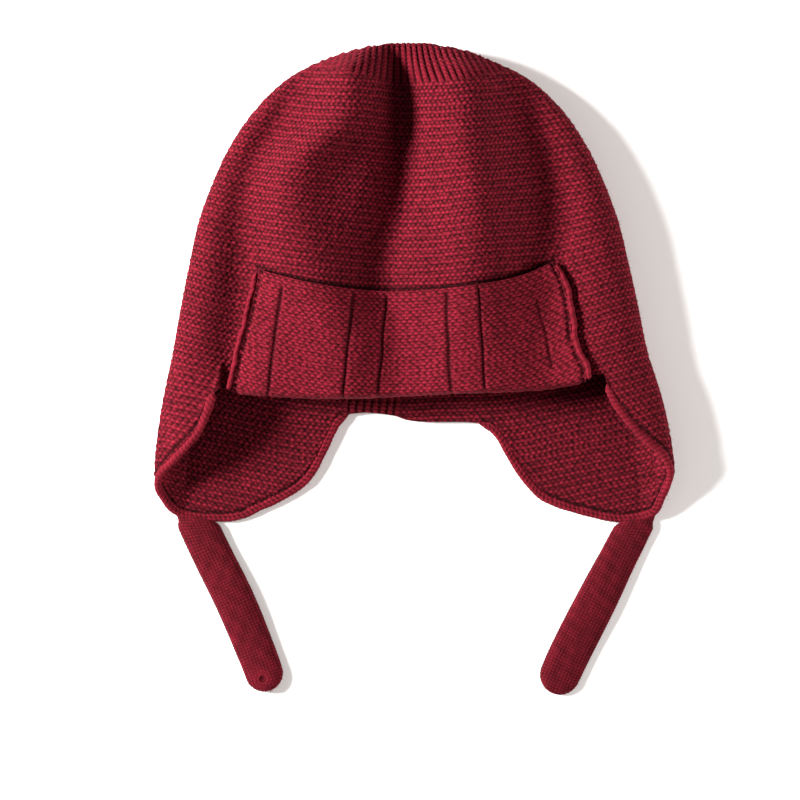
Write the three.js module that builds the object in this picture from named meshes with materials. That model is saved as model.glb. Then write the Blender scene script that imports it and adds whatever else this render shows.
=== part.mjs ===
// Knitted earflap beanie lying flat on its back, its front turned up, with two short knitted ties.
// Millimetres. +Z is up from the surface it lies on, +Y points to the crown's top, +X to the right.

import * as THREE from 'three';

// Driving dimensions
const WALL = 3;              // thickness of the garter knit
const GAP = 0.4;             // clearance between neighbouring pieces
const CROWN_TOP_Y = 151.8;   // middle of the crown's top edge
const BODY_END_Y = 4;        // below this the crown splits into front brim, ear flaps and nape
const RIM_Z = 9;             // height of the side folds above the surface
const TOP_ROUND = 18;        // depth of the rounding at the crown's top edge
const FRONT_SHOULDER = 24;   // width over which the front rounds down to a side fold
const BACK_SHOULDER = 12;    // the same underneath
const LEFT_FLAP_SWELL = 1.3; // how far the ear flaps' side folds swell outwards below the crown
const RIGHT_FLAP_SWELL = 1.9;
const TURN_UP_WALL = 2.6;    // thickness of the turned-up front
const TURN_UP_CLEAR = 1.1;   // it lies loosely on the crown's folds
const TURN_UP_LIFT = 0.8;    // how far its free top edge stands off the crown
const FOLD_DEPTH = 3.5;      // the turn-up's folded lower edge, in front of the crown's brim
const SEAM_RADIUS = 1.15;    // the raised seam rolls at the turn-up's sides
const SEAM_RAISE = 1.2;      // how far a seam roll stands above the crown under it
const EDGING_WIDTH = 3.6;    // the rolled edging of the ear flaps
const EDGING_THICK = 3.4;
const EDGING_CLEAR = 0.6;    // between the edging and the crown's edge
const TIE_THICK = 5.5;       // a tie is a flattened knitted tube
const TIE_FLAT = 0.8;        // share of its thickness that lies above its widest line
const TIE_TIP_THICK = 0.35;  // share of its thickness left at the tip
const TIE_SQUARENESS = 0.8;  // below 1 the tube's section is squarer than an oval
const TIE_LEVEL_END = 1 / 6; // share of its length over which its end turns level with the ear flap

// How finely each piece is faceted
const FRONT_STEPS = 28;
const SHOULDER_STEPS = 5;
const FLAP_STEPS = 9;
const NAPE_STEPS = 6;
const TOP_ROWS = 6;
const BODY_ROWS = 14;
const SKIRT_ROWS = 5;
const TURN_UP_COLUMNS = 26;
const TURN_UP_ROWS = 9;
const SEAM_STEPS = 20;
const ROLL_SIDES = 6;
const TIE_STEPS = 14;
const TIE_TIP_STEPS = 6;
const TIE_SIDES = 12;

const YARN = { color: 0x8e1f33, roughness: 0.95, metalness: 0 };
const TRIM_YARN = { color: 0x96263a, roughness: 0.95, metalness: 0 };

// The crown's outline: a row for each section, down from the middle of the top edge
const OUTLINE = [
  { drop: 0, left: -4, right: -4 },
  { drop: 0.5, left: -13.3, right: 8.1 },
  { drop: 1.4, left: -20.2, right: 13.8 },
  { drop: 3.3, left: -28, right: 23.6 },
  { drop: 7.9, left: -42, right: 36 },
  { drop: 17.2, left: -59.3, right: 54.2 },
  { drop: 26.5, left: -69.5, right: 64.9 },
  { drop: 35.8, left: -77.4, right: 72.8 },
  { drop: 49.7, left: -86.3, right: 81.6 },
  { drop: 63.7, left: -92.8, right: 88.1 },
  { drop: 82.3, left: -99.7, right: 95.1 },
  { drop: 101, left: -103.9, right: 99.7 },
  { drop: 119.5, left: -107.6, right: 103.9 },
  { drop: 138.1, left: -110.9, right: 107.6 },
  { drop: 156.7, left: -114.2, right: 112.3 },
];

// Height of the front layer's outer face where no fold passes
const FRONT_BASE = [
  { y: 152, z: 18 },
  { y: 130, z: 21.5 },
  { y: 90, z: 23 },
  { y: 45, z: 22 },
  { y: -15, z: 21 },
];

// The folds pressed into the front: where each runs, how far it rises or sinks, and how wide it is
const FOLDS = {
  centre_valley: [
    { y: 152, x: -9, rise: -6, spread: 6 },
    { y: 132, x: -7, rise: -10.8, spread: 7.5 },
    { y: 111, x: -6, rise: -11.4, spread: 9 },
    { y: 92, x: -5, rise: -11, spread: 12 },
    { y: 79, x: -6, rise: -11, spread: 14 },
    { y: 45, x: -16, rise: -8, spread: 14 },
    { y: 11, x: -9, rise: -5, spread: 15 },
    { y: -15, x: -9, rise: -3.5, spread: 15 },
  ],
  left_ridge: [
    { y: 152, x: -27, rise: 4, spread: 10 },
    { y: 140, x: -29, rise: 9, spread: 12 },
    { y: 115, x: -33, rise: 12, spread: 14 },
    { y: 93, x: -53, rise: 10, spread: 16 },
    { y: 79, x: -56, rise: 9, spread: 18 },
    { y: 45, x: -48, rise: 7.5, spread: 19 },
    { y: 11, x: -35, rise: 4.5, spread: 18 },
    { y: -15, x: -35, rise: 3, spread: 18 },
  ],
  right_ridge: [
    { y: 152, x: 20, rise: 1, spread: 13 },
    { y: 130, x: 22, rise: 8, spread: 13 },
    { y: 100, x: 25, rise: 11, spread: 14 },
    { y: 79, x: 28, rise: 10.5, spread: 14 },
    { y: 50, x: 27, rise: 8.5, spread: 15 },
    { y: 11, x: 26, rise: 4.5, spread: 16 },
    { y: -15, x: 28, rise: 3.5, spread: 18 },
  ],
  right_valley: [
    { y: 152, x: 44, rise: 0, spread: 9 },
    { y: 130, x: 50, rise: -6, spread: 12 },
    { y: 87, x: 62, rise: -9, spread: 14 },
    { y: 55, x: 63, rise: -8, spread: 15 },
    { y: 11, x: 64, rise: -6, spread: 16 },
    { y: -15, x: 66, rise: -4, spread: 15 },
  ],
  left_rim_valley: [
    { y: 152, x: -45, rise: 0, spread: 7 },
    { y: 132, x: -54, rise: -4, spread: 9 },
    { y: 93, x: -74, rise: -7, spread: 11 },
    { y: 37, x: -81, rise: -7, spread: 13 },
    { y: 11, x: -84, rise: -6, spread: 13 },
    { y: -15, x: -86, rise: -4, spread: 12 },
  ],
};

// The edge all the way round, at the middle of the fabric: right front, turning left, then the back
const BRIM_RIGHT = 88.3;
const BRIM_LEFT = -90.3;
const LEFT_FRONT_EDGE = [
  { x: -92.3, y: -10.9, z: 22 },
  { x: -96, y: -20.2, z: 21.5 },
  { x: -101.1, y: -30.5, z: 19.5 },
  { x: -104.9, y: -34.6, z: 18.5 },
  { x: -113.2, y: -43.5, z: 15 },
  { x: -119.1, y: -49, z: 11.5 },
];
const LEFT_RIM = [
  { x: -119.1, y: -49, z: 11.5 },
  { x: -118.8, y: -55.3, z: 8.5 },
  { x: -116, y: -60.2, z: 6 },
  { x: -112.9, y: -64.3, z: 4 },
  { x: -108, y: -67.6, z: 1.8 },
];
const LEFT_FLAP_EDGE = [
  { x: -108, y: -67.6 },
  { x: -98, y: -68.8 },
  { x: -82, y: -68.3 },
  { x: -71.2, y: -63.7 },
  { x: -61.7, y: -59.2 },
  { x: -54, y: -54.6 },
  { x: -49.3, y: -50.2 },
  { x: -44, y: -41.4 },
  { x: -39.6, y: -32 },
  { x: -36, y: -24.5 },
];
const NAPE = [
  { x: -36, y: -24.5 },
  { x: -31, y: -21.2 },
  { x: -9, y: -21.6 },
  { x: -3, y: -23.6 },
  { x: 32, y: -25.3 },
  { x: 37, y: -27 },
];
// The nape takes this stretch of the back's width, and the ear flaps the rest
const NAPE_FROM = 0.36;
const NAPE_TO = 0.65;
const RIGHT_FLAP_EDGE = [
  { x: 37, y: -27 },
  { x: 41, y: -32.1 },
  { x: 46, y: -41.3 },
  { x: 52, y: -50.3 },
  { x: 60.4, y: -59.2 },
  { x: 71, y: -63.6 },
  { x: 84, y: -67.2 },
  { x: 95, y: -69.2 },
  { x: 108, y: -68.4 },
];
const RIGHT_RIM = [
  { x: 108, y: -68.4, z: 1.8 },
  { x: 112.3, y: -66, z: 4 },
  { x: 115, y: -61, z: 6 },
  { x: 117.5, y: -55.3, z: 8.5 },
  { x: 120.3, y: -48, z: 11.5 },
];
const RIGHT_FRONT_EDGE = [
  { x: 120.3, y: -48, z: 11.5 },
  { x: 118.2, y: -43, z: 14 },
  { x: 115.5, y: -38.6, z: 16 },
  { x: 110, y: -34.2, z: 18 },
  { x: 104.9, y: -29.5, z: 19 },
  { x: 97.9, y: -21.6, z: 20 },
  { x: 92.8, y: -14.2, z: 20 },
  { x: 89.5, y: -6.8, z: 20 },
];

// The turn-up's free upper edge and folded lower edge, and the seam rolls that close its sides
const TURN_UP_TOP = [
  { x: -73, y: 47 },
  { x: -66, y: 44.5 },
  { x: -39, y: 38.4 },
  { x: -11, y: 36 },
  { x: 12, y: 37 },
  { x: 31, y: 39.3 },
  { x: 50, y: 43.5 },
  { x: 66, y: 50.5 },
];
const TURN_UP_BOTTOM = [
  { x: -86, y: -11 },
  { x: -70, y: -12.4 },
  { x: -35, y: -13.7 },
  { x: 17, y: -11.4 },
  { x: 64, y: -9.1 },
  { x: 82, y: -5.8 },
];
const LEFT_SEAM = [
  { y: 45, x: -72.8 },
  { y: 30, x: -76.2 },
  { y: 18, x: -79.2 },
  { y: 5, x: -82.6 },
  { y: -9.5, x: -85.3 },
];
const RIGHT_SEAM = [
  { y: 49.6, x: 65.6 },
  { y: 43.5, x: 69 },
  { y: 35, x: 71.8 },
  { y: 26, x: 73.7 },
  { y: 16.5, x: 74.4 },
  { y: 7, x: 77.4 },
  { y: -0.5, x: 80.7 },
  { y: -4.6, x: 81.1 },
];

// Each tie's middle line and full width, from the ear flap to its round tip
const LEFT_TIE = [
  { x: -101.2, y: -71, width: 18.6 },
  { x: -95.2, y: -84, width: 18.6 },
  { x: -83.7, y: -107.2, width: 18.8 },
  { x: -72.2, y: -135, width: 18.2 },
  { x: -66.8, y: -149.9, width: 17.6 },
];
const RIGHT_TIE = [
  { x: 104, y: -71.4, width: 16.6 },
  { x: 97.6, y: -84, width: 17.4 },
  { x: 85.8, y: -107.2, width: 19 },
  { x: 71.8, y: -135, width: 19.2 },
  { x: 64.6, y: -151.1, width: 18.4 },
];

// A table read at any key: a smooth cubic through one column, straight past its ends
function readTable(rows, key, column, at) {
  const sign = rows[rows.length - 1][key] > rows[0][key] ? 1 : -1;
  const last = rows.length - 2;
  let low = 0;
  while (low < last && sign * (at - rows[low + 1][key]) > 0) {
    low += 1;
  }
  const slope = (a, b) => (rows[b][column] - rows[a][column]) / (rows[b][key] - rows[a][key]);
  const own = slope(low, low + 1);
  const before = low > 0 ? (own + slope(low - 1, low)) / 2 : own;
  const after = low < last ? (own + slope(low + 1, low + 2)) / 2 : own;
  const span = rows[low + 1][key] - rows[low][key];
  const t = THREE.MathUtils.clamp((at - rows[low][key]) / span, 0, 1);
  const start = rows[low][column];
  const end = rows[low + 1][column];
  const blend = t * t * (3 - 2 * t);
  const lean = span * (before * t * (1 - t) * (1 - t) - after * t * t * (1 - t));
  return start + (end - start) * blend + lean;
}

// A list of points with the share of its length reached at each, so that it reads as a table
function withShares(points) {
  const shares = [0];
  for (let i = 1; i < points.length; i += 1) {
    const step = Math.hypot(points[i].x - points[i - 1].x, points[i].y - points[i - 1].y);
    shares.push(shares[i - 1] + step);
  }
  const total = shares[shares.length - 1];
  return points.map((point, i) => ({ ...point, share: shares[i] / total }));
}

function outlineAt(y) {
  const rows = OUTLINE.map((row) => ({ ...row, root: Math.sqrt(row.drop) }));
  const root = Math.sqrt(Math.max(CROWN_TOP_Y - y, 0));
  return {
    left: readTable(rows, 'root', 'left', root),
    right: readTable(rows, 'root', 'right', root),
  };
}

// Height of the front layer's outer face: the base plus a bell-shaped swell for each fold
function frontHeight(x, y) {
  let z = readTable(FRONT_BASE, 'y', 'z', y);
  for (const rows of Object.values(FOLDS)) {
    const across = (x - readTable(rows, 'y', 'x', y)) / readTable(rows, 'y', 'spread', y);
    z += readTable(rows, 'y', 'rise', y) * Math.exp(-across * across);
  }
  return z;
}

// The stations round a level section: front right to left, left fold, back, right fold
function sectionStations() {
  const stations = [];
  const run = (part, steps) => {
    for (let i = 0; i < steps; i += 1) {
      stations.push({ part, share: i / steps });
    }
  };
  run('front', FRONT_STEPS);
  run('left_front', SHOULDER_STEPS);
  run('left_back', SHOULDER_STEPS);
  run('left_flap', FLAP_STEPS);
  run('nape', NAPE_STEPS);
  run('right_flap', FLAP_STEPS);
  run('right_back', SHOULDER_STEPS);
  run('right_front', SHOULDER_STEPS);
  return stations;
}

// Where a station lies on the section: side -1 left or 1 right, turn 0 at the fold to 1 on the flat,
// face 1 in front or -1 behind
function stationShape({ part, share }) {
  const quarter = Math.PI / 2;
  const shapes = {
    front: { side: 0, turn: quarter, face: 1 },
    left_front: { side: -1, turn: quarter * (1 - share), face: 1 },
    left_back: { side: -1, turn: quarter * share, face: -1 },
    left_flap: { side: 0, turn: quarter, face: -1 },
    nape: { side: 0, turn: quarter, face: -1 },
    right_flap: { side: 0, turn: quarter, face: -1 },
    right_back: { side: 1, turn: quarter * (1 - share), face: -1 },
    right_front: { side: 1, turn: quarter * share, face: 1 },
  };
  return shapes[part];
}

// How far across the flat stretch of a section a station lies, from left to right
function shareAcross({ part, share }) {
  const ends = {
    front: [1, 0],
    left_flap: [0, NAPE_FROM],
    nape: [NAPE_FROM, NAPE_TO],
    right_flap: [NAPE_TO, 1],
  };
  return THREE.MathUtils.lerp(ends[part][0], ends[part][1], share);
}

// The way into the fabric's inner face at a station, with tip from 0 at the crown's top to 90 degrees
function inwardAt(station, tip) {
  const { side, turn, face } = stationShape(station);
  const sideways = -side * Math.cos(turn) * Math.sin(tip);
  return new THREE.Vector3(sideways, -Math.cos(tip), -face * Math.sin(turn) * Math.sin(tip)).normalize();
}

// A point of the crown's outer face on the level section at y
function bodyPoint(station, y, tip) {
  const { left, right } = outlineAt(y);
  const { side, turn, face } = stationShape(station);
  const wanted = face > 0 ? FRONT_SHOULDER : BACK_SHOULDER;
  const shoulder = Math.min(wanted, (right - left) * 0.3);
  let x = side < 0 ? left + shoulder * (1 - Math.cos(turn)) : right - shoulder * (1 - Math.cos(turn));
  if (side === 0) {
    x = THREE.MathUtils.lerp(left + shoulder, right - shoulder, shareAcross(station));
  }
  const swell = Math.sin(turn) * Math.sin(tip);
  const z = face > 0 ? RIM_Z + (frontHeight(x, y) - RIM_Z) * swell : RIM_Z * (1 - swell);
  return new THREE.Vector3(x, y, z);
}

// The back's edge lies flat, so its middle is at half the fabric's thickness
function lyingFlat(points) {
  return points.map((point) => ({ ...point, z: WALL / 2 }));
}

const EDGE_PARTS = {
  left_front: withShares(LEFT_FRONT_EDGE),
  left_back: withShares(LEFT_RIM),
  left_flap: withShares(lyingFlat(LEFT_FLAP_EDGE)),
  nape: withShares(lyingFlat(NAPE)),
  right_flap: withShares(lyingFlat(RIGHT_FLAP_EDGE)),
  right_back: withShares(RIGHT_RIM),
  right_front: withShares(RIGHT_FRONT_EDGE),
};

// In front the brim ends just above the turn-up's folded lower edge
function edgePoint({ part, share }) {
  if (part === 'front') {
    const x = THREE.MathUtils.lerp(BRIM_RIGHT, BRIM_LEFT, share);
    const y = readTable(TURN_UP_BOTTOM, 'x', 'y', x) + FOLD_DEPTH;
    return new THREE.Vector3(x, y, frontHeight(x, y) - WALL / 2);
  }
  const read = (column) => readTable(EDGE_PARTS[part], 'share', column, share);
  return new THREE.Vector3(read('x'), read('y'), read('z'));
}

// True along the ear flaps, where the edging takes the outermost part of the edge, corner included
function hasEdging({ part, share }) {
  const corner = part === 'nape' && share === 0;
  return corner || !['front', 'nape'].includes(part);
}

// One closed mesh from rings of equal length; the first and last rings may be single points, or
// are closed by the triangles of a section, given as places on a ring
function meshFromRings(rings, closedTube, section = []) {
  const vertices = [];
  const starts = rings.map((ring) => {
    const start = vertices.length / 3;
    ring.forEach((point) => vertices.push(point.x, point.y, point.z));
    return start;
  });
  const faces = [];
  const joinRings = (a, b) => {
    const count = Math.max(rings[a].length, rings[b].length);
    const at = (ring, i) => starts[ring] + (rings[ring].length === 1 ? 0 : i % rings[ring].length);
    for (let i = 0; i < count; i += 1) {
      const quad = [at(a, i), at(a, i + 1), at(b, i + 1), at(b, i)];
      if (quad[0] !== quad[1]) {
        faces.push(quad[0], quad[1], quad[2]);
      }
      if (quad[2] !== quad[3]) {
        faces.push(quad[0], quad[2], quad[3]);
      }
    }
  };
  for (let i = 0; i + 1 < rings.length; i += 1) {
    joinRings(i, i + 1);
  }
  if (closedTube) {
    joinRings(rings.length - 1, 0);
  }
  section.forEach(([a, b, c]) => {
    const first = starts[0];
    const last = starts[rings.length - 1];
    faces.push(first + c, first + b, first + a, last + a, last + b, last + c);
  });
  const geometry = new THREE.BufferGeometry();
  geometry.setAttribute('position', new THREE.Float32BufferAttribute(vertices, 3));
  geometry.setIndex(faces);
  if (enclosedVolume(geometry) < 0) {
    const index = geometry.getIndex().array;
    for (let i = 0; i < index.length; i += 3) {
      [index[i + 1], index[i + 2]] = [index[i + 2], index[i + 1]];
    }
  }
  geometry.computeVertexNormals();
  return geometry;
}

function enclosedVolume(geometry) {
  const position = geometry.getAttribute('position');
  const index = geometry.getIndex().array;
  const corner = [new THREE.Vector3(), new THREE.Vector3(), new THREE.Vector3()];
  let volume = 0;
  for (let i = 0; i < index.length; i += 3) {
    corner.forEach((point, k) => point.fromBufferAttribute(position, index[i + k]));
    volume += corner[0].dot(corner[1].clone().cross(corner[2])) / 6;
  }
  return volume;
}

function centreOf(ring) {
  const sum = ring.reduce((total, point) => total.add(point), new THREE.Vector3());
  return sum.divideScalar(ring.length);
}

function namedMesh(name, geometry, yarn) {
  const mesh = new THREE.Mesh(geometry, new THREE.MeshStandardMaterial(yarn));
  mesh.name = name;
  return mesh;
}

// The crown's edge: the middle of the fabric, drawn back where the edging lies beyond it
function crownEdge(stations, lastMiddle) {
  return stations.map((station, i) => {
    const edge = edgePoint(station);
    if (!hasEdging(station)) {
      return edge;
    }
    const next = edgePoint(stations[(i + 1) % stations.length]);
    const previous = edgePoint(stations[(i + stations.length - 1) % stations.length]);
    const along = next.sub(previous).normalize();
    const back = lastMiddle[i].clone().sub(edge);
    back.addScaledVector(along, -back.dot(along)).normalize();
    return edge.addScaledVector(back, EDGING_WIDTH / 2 + EDGING_CLEAR);
  });
}

// The ear flaps' side folds bow outwards, most at the fold itself
function flapSwell(station) {
  const { side, turn } = stationShape(station);
  const swell = side < 0 ? LEFT_FLAP_SWELL : RIGHT_FLAP_SWELL;
  return swell * Math.cos(turn) * Math.cos(turn);
}

// The knitted body: level sections down from the top edge, then straight lines to the edge all round
function makeCrown() {
  const stations = sectionStations();
  const quarter = Math.PI / 2;
  const rows = [];
  for (let i = 1; i <= TOP_ROWS; i += 1) {
    const tip = (quarter * i) / TOP_ROWS;
    rows.push({ y: CROWN_TOP_Y - TOP_ROUND * (1 - Math.cos(tip)), tip });
  }
  const bodyTop = CROWN_TOP_Y - TOP_ROUND;
  for (let i = 1; i <= BODY_ROWS; i += 1) {
    rows.push({ y: THREE.MathUtils.lerp(bodyTop, BODY_END_Y, i / BODY_ROWS), tip: quarter });
  }
  const outer = rows.map((row) => stations.map((station) => bodyPoint(station, row.y, row.tip)));
  const inward = rows.map((row) => stations.map((station) => inwardAt(station, row.tip)));
  const lastBody = outer[outer.length - 1];
  const lastInward = inward[inward.length - 1];
  const lastMiddle = lastBody.map((point, k) => point.clone().addScaledVector(lastInward[k], WALL / 2));
  const edge = crownEdge(stations, lastMiddle);
  for (let i = 1; i <= SKIRT_ROWS; i += 1) {
    const share = i / SKIRT_ROWS;
    outer.push(stations.map((station, k) => {
      const end = edge[k].clone().addScaledVector(lastInward[k], -WALL / 2);
      const outwards = flapSwell(station) * 4 * share * (1 - share);
      return lastBody[k].clone().lerp(end, share).addScaledVector(lastInward[k], -outwards);
    }));
    inward.push(lastInward);
  }
  const inner = outer.map((ring, i) => ring.map((p, k) => p.clone().addScaledVector(inward[i][k], WALL)));
  const top = new THREE.Vector3(OUTLINE[0].left, CROWN_TOP_Y, RIM_Z);
  const innerTop = top.clone().setY(CROWN_TOP_Y - WALL);
  const rings = [[top], ...outer, ...inner.reverse(), [innerTop]];
  return namedMesh('crown', meshFromRings(rings, false), YARN);
}

// The seam rolls bound the turn-up, so its sides are read from them
function turnUpPoint(across, down) {
  const sides = SEAM_RADIUS + TURN_UP_CLEAR;
  const top = (x) => readTable(TURN_UP_TOP, 'x', 'y', x);
  const bottom = (x) => readTable(TURN_UP_BOTTOM, 'x', 'y', x);
  let x = 0;
  let y = 0;
  for (let pass = 0; pass < 4; pass += 1) {
    y = THREE.MathUtils.lerp(top(x), bottom(x), down);
    const left = readTable(LEFT_SEAM, 'y', 'x', y) + sides;
    const right = readTable(RIGHT_SEAM, 'y', 'x', y) - sides;
    x = THREE.MathUtils.lerp(left, right, across);
  }
  return { x, y };
}

// The turned-up front: a sheet over the crown, folded under in front of the brim
// Triangles over the turn-up's L-shaped section: strips between its two faces, then a fan round
// the inner corner of its foot
function turnUpSection() {
  const footPoints = 6;
  const last = 2 * TURN_UP_ROWS + footPoints + 1;
  const corner = TURN_UP_ROWS + footPoints;
  const triangles = [];
  for (let k = 0; k < TURN_UP_ROWS; k += 1) {
    triangles.push([k, k + 1, last - 1 - k], [k, last - 1 - k, last - k]);
  }
  triangles.push([corner, corner + 1, TURN_UP_ROWS]);
  for (let k = TURN_UP_ROWS; k < corner - 1; k += 1) {
    triangles.push([corner, k, k + 1]);
  }
  return triangles;
}

function makeTurnUp() {
  const foldShare = 0.93;
  const rings = [];
  for (let i = 0; i <= TURN_UP_COLUMNS; i += 1) {
    const across = i / TURN_UP_COLUMNS;
    const face = [];
    const underside = [];
    for (let k = 0; k <= TURN_UP_ROWS; k += 1) {
      const down = (foldShare * k) / TURN_UP_ROWS;
      const { x, y } = turnUpPoint(across, down);
      const floor = frontHeight(x, y) + TURN_UP_CLEAR + TURN_UP_LIFT * (1 - down) * (1 - down);
      face.push(new THREE.Vector3(x, y, floor + TURN_UP_WALL));
      underside.push(new THREE.Vector3(x, y, floor));
    }
    const { x, y } = turnUpPoint(across, 1);
    const brimY = y + FOLD_DEPTH - 2 * GAP;
    const crownTop = frontHeight(x, brimY);
    const fold = [
      new THREE.Vector3(x, y + 0.7, crownTop + TURN_UP_CLEAR + TURN_UP_WALL * 0.6),
      new THREE.Vector3(x, y, crownTop + TURN_UP_CLEAR),
      new THREE.Vector3(x, y, crownTop - WALL * 0.6),
      new THREE.Vector3(x, y + 0.8, crownTop - WALL),
      new THREE.Vector3(x, brimY, crownTop - WALL),
      new THREE.Vector3(x, brimY, crownTop + TURN_UP_CLEAR),
    ];
    rings.push([...face, ...fold, ...underside.reverse()]);
  }
  return namedMesh('turn_up', meshFromRings(rings, false, turnUpSection()), YARN);
}

// A roll of elliptic section carried along points, each with a sideways and an upward half axis
function rollRings(frames, sides) {
  return frames.map(({ centre, across, up }) => {
    const ring = [];
    for (let i = 0; i < sides; i += 1) {
      const angle = (2 * Math.PI * i) / sides;
      const sideways = across.clone().multiplyScalar(Math.cos(angle));
      ring.push(centre.clone().add(sideways).addScaledVector(up, Math.sin(angle)));
    }
    return ring;
  });
}

function makeRoll(name, frames, sides) {
  const rings = rollRings(frames, sides);
  const first = [centreOf(rings[0])];
  const last = [centreOf(rings[rings.length - 1])];
  return namedMesh(name, meshFromRings([first, ...rings, last], false), TRIM_YARN);
}

// A raised seam roll, standing on the crown beside the turn-up
function makeSeam(name, rows) {
  const top = rows[0].y;
  const bottom = rows[rows.length - 1].y;
  const frames = [];
  for (let i = 0; i <= SEAM_STEPS; i += 1) {
    const y = THREE.MathUtils.lerp(top, bottom, i / SEAM_STEPS);
    const x = readTable(rows, 'y', 'x', y);
    const z = frontHeight(x, y) + SEAM_RADIUS + SEAM_RAISE;
    frames.push({
      centre: new THREE.Vector3(x, y, z),
      across: new THREE.Vector3(SEAM_RADIUS, 0, 0),
      up: new THREE.Vector3(0, 0, SEAM_RADIUS),
    });
  }
  return makeRoll(name, frames, ROLL_SIDES);
}

// The edging of one ear flap, from the front edge round the flap to the nape
function makeEdging(name, side) {
  const stations = [];
  const add = (part, from, to, steps) => {
    for (let i = 0; i <= steps; i += 1) {
      stations.push({ part, share: THREE.MathUtils.lerp(from, to, i / steps) });
    }
  };
  if (side < 0) {
    add('left_front', 0.1, 0.95, 12);
    add('left_back', 0.1, 0.9, 6);
    add('left_flap', 0.05, 1, 24);
  } else {
    add('right_flap', 0, 0.95, 24);
    add('right_back', 0.1, 0.9, 6);
    add('right_front', 0.05, 0.9, 12);
  }
  const points = stations.map((station) => edgePoint(station));
  const frames = points.map((centre, i) => {
    const along = points[Math.min(i + 1, points.length - 1)].clone().sub(points[Math.max(i - 1, 0)]);
    const up = inwardAt(stations[i], Math.PI / 2);
    up.addScaledVector(along.normalize(), -up.dot(along)).normalize();
    const across = up.clone().cross(along).normalize();
    return {
      centre: centre.clone().addScaledVector(up, EDGING_THICK / 2 - WALL / 2),
      across: across.multiplyScalar(EDGING_WIDTH / 2),
      up: up.multiplyScalar(EDGING_THICK / 2),
    };
  });
  return makeRoll(name, frames, ROLL_SIDES);
}

// A tie: flattened tube lying on the surface, level at the ear flap and round at its tip
function makeTie(name, rows) {
  const table = withShares(rows);
  const read = (column, share) => readTable(table, 'share', column, share);
  const length = Math.hypot(rows[rows.length - 1].x - rows[0].x, rows[rows.length - 1].y - rows[0].y);
  const tipLength = rows[rows.length - 1].width / 2;
  const tipStart = 1 - tipLength / length;
  const shares = [];
  for (let i = 0; i < TIE_STEPS; i += 1) {
    shares.push({ share: (tipStart * i) / TIE_STEPS, narrow: 1 });
  }
  for (let i = 0; i < TIE_TIP_STEPS; i += 1) {
    const angle = (Math.PI / 2) * (i / TIE_TIP_STEPS);
    shares.push({ share: tipStart + (1 - tipStart) * Math.sin(angle), narrow: Math.cos(angle) });
  }
  const rings = shares.map(({ share, narrow }) => {
    const here = new THREE.Vector2(read('x', share), read('y', share));
    const ahead = new THREE.Vector2(read('x', share + 0.01), read('y', share + 0.01));
    const before = new THREE.Vector2(read('x', share - 0.01), read('y', share - 0.01));
    const along = ahead.sub(before).normalize();
    const square = new THREE.Vector2(-along.y, along.x);
    const level = THREE.MathUtils.clamp(1 - share / TIE_LEVEL_END, 0, 1);
    square.lerp(new THREE.Vector2(1 / Math.abs(along.y), 0), level);
    const half = (read('width', share) / 2) * narrow;
    const thick = TIE_THICK * (TIE_TIP_THICK + (1 - TIE_TIP_THICK) * Math.sqrt(narrow));
    const ring = [];
    for (let i = 0; i < TIE_SIDES; i += 1) {
      const angle = (2 * Math.PI * i) / TIE_SIDES;
      const wide = Math.sign(Math.cos(angle)) * Math.pow(Math.abs(Math.cos(angle)), TIE_SQUARENESS);
      const high = Math.sin(angle) > 0 ? Math.sin(angle) * TIE_FLAT : Math.sin(angle) * (1 - TIE_FLAT);
      const z = thick * (1 - TIE_FLAT + high);
      ring.push(new THREE.Vector3(here.x + square.x * half * wide, here.y + square.y * half * wide, z));
    }
    return ring;
  });
  const tip = new THREE.Vector3(read('x', 1), read('y', 1), TIE_THICK * TIE_TIP_THICK * (1 - TIE_FLAT));
  const geometry = meshFromRings([[centreOf(rings[0])], ...rings, [tip]], false);
  return namedMesh(name, geometry, YARN);
}

const beanie = new THREE.Group();
beanie.add(makeCrown());
beanie.add(makeTurnUp());
beanie.add(makeSeam('turn_up_seam_left', LEFT_SEAM));
beanie.add(makeSeam('turn_up_seam_right', RIGHT_SEAM));
beanie.add(makeEdging('edging_left', -1));
beanie.add(makeEdging('edging_right', 1));
beanie.add(makeTie('tie_left', LEFT_TIE));
beanie.add(makeTie('tie_right', RIGHT_TIE));

export default beanie;
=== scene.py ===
"""A dark red knitted earflap beanie lying flat: stitches, folds, edgings, ties and fuzz.

Lengths inside the script are millimetres, and become metres as a mesh is made. +Z is up from the
surface, +Y points to the crown's top and +X to the right.
"""
import math

import bmesh
import bpy
import numpy as np
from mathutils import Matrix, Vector


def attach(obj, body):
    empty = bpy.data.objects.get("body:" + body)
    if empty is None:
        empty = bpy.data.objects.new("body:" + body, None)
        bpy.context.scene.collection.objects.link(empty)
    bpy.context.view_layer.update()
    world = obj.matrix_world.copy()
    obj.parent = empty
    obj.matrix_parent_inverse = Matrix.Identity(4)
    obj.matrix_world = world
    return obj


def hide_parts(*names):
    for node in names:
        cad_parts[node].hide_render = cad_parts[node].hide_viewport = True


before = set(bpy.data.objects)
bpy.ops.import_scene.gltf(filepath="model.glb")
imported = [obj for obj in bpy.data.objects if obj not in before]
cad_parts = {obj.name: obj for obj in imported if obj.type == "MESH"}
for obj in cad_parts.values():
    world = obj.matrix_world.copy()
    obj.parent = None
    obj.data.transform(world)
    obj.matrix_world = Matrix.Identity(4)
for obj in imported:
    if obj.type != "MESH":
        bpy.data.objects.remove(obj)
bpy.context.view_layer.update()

bl_info = {
    "name": "Knitted Earflap Beanie",
    "version": (1, 0, 0),
    "blender": (4, 5, 0),
    "location": "3D View > Sidebar > Beanie",
    "description": "Builds a knitted earflap beanie lying flat, stitch by stitch",
    "category": "Mesh",
}

MM = 0.001
QUARTER = math.pi / 2

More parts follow.
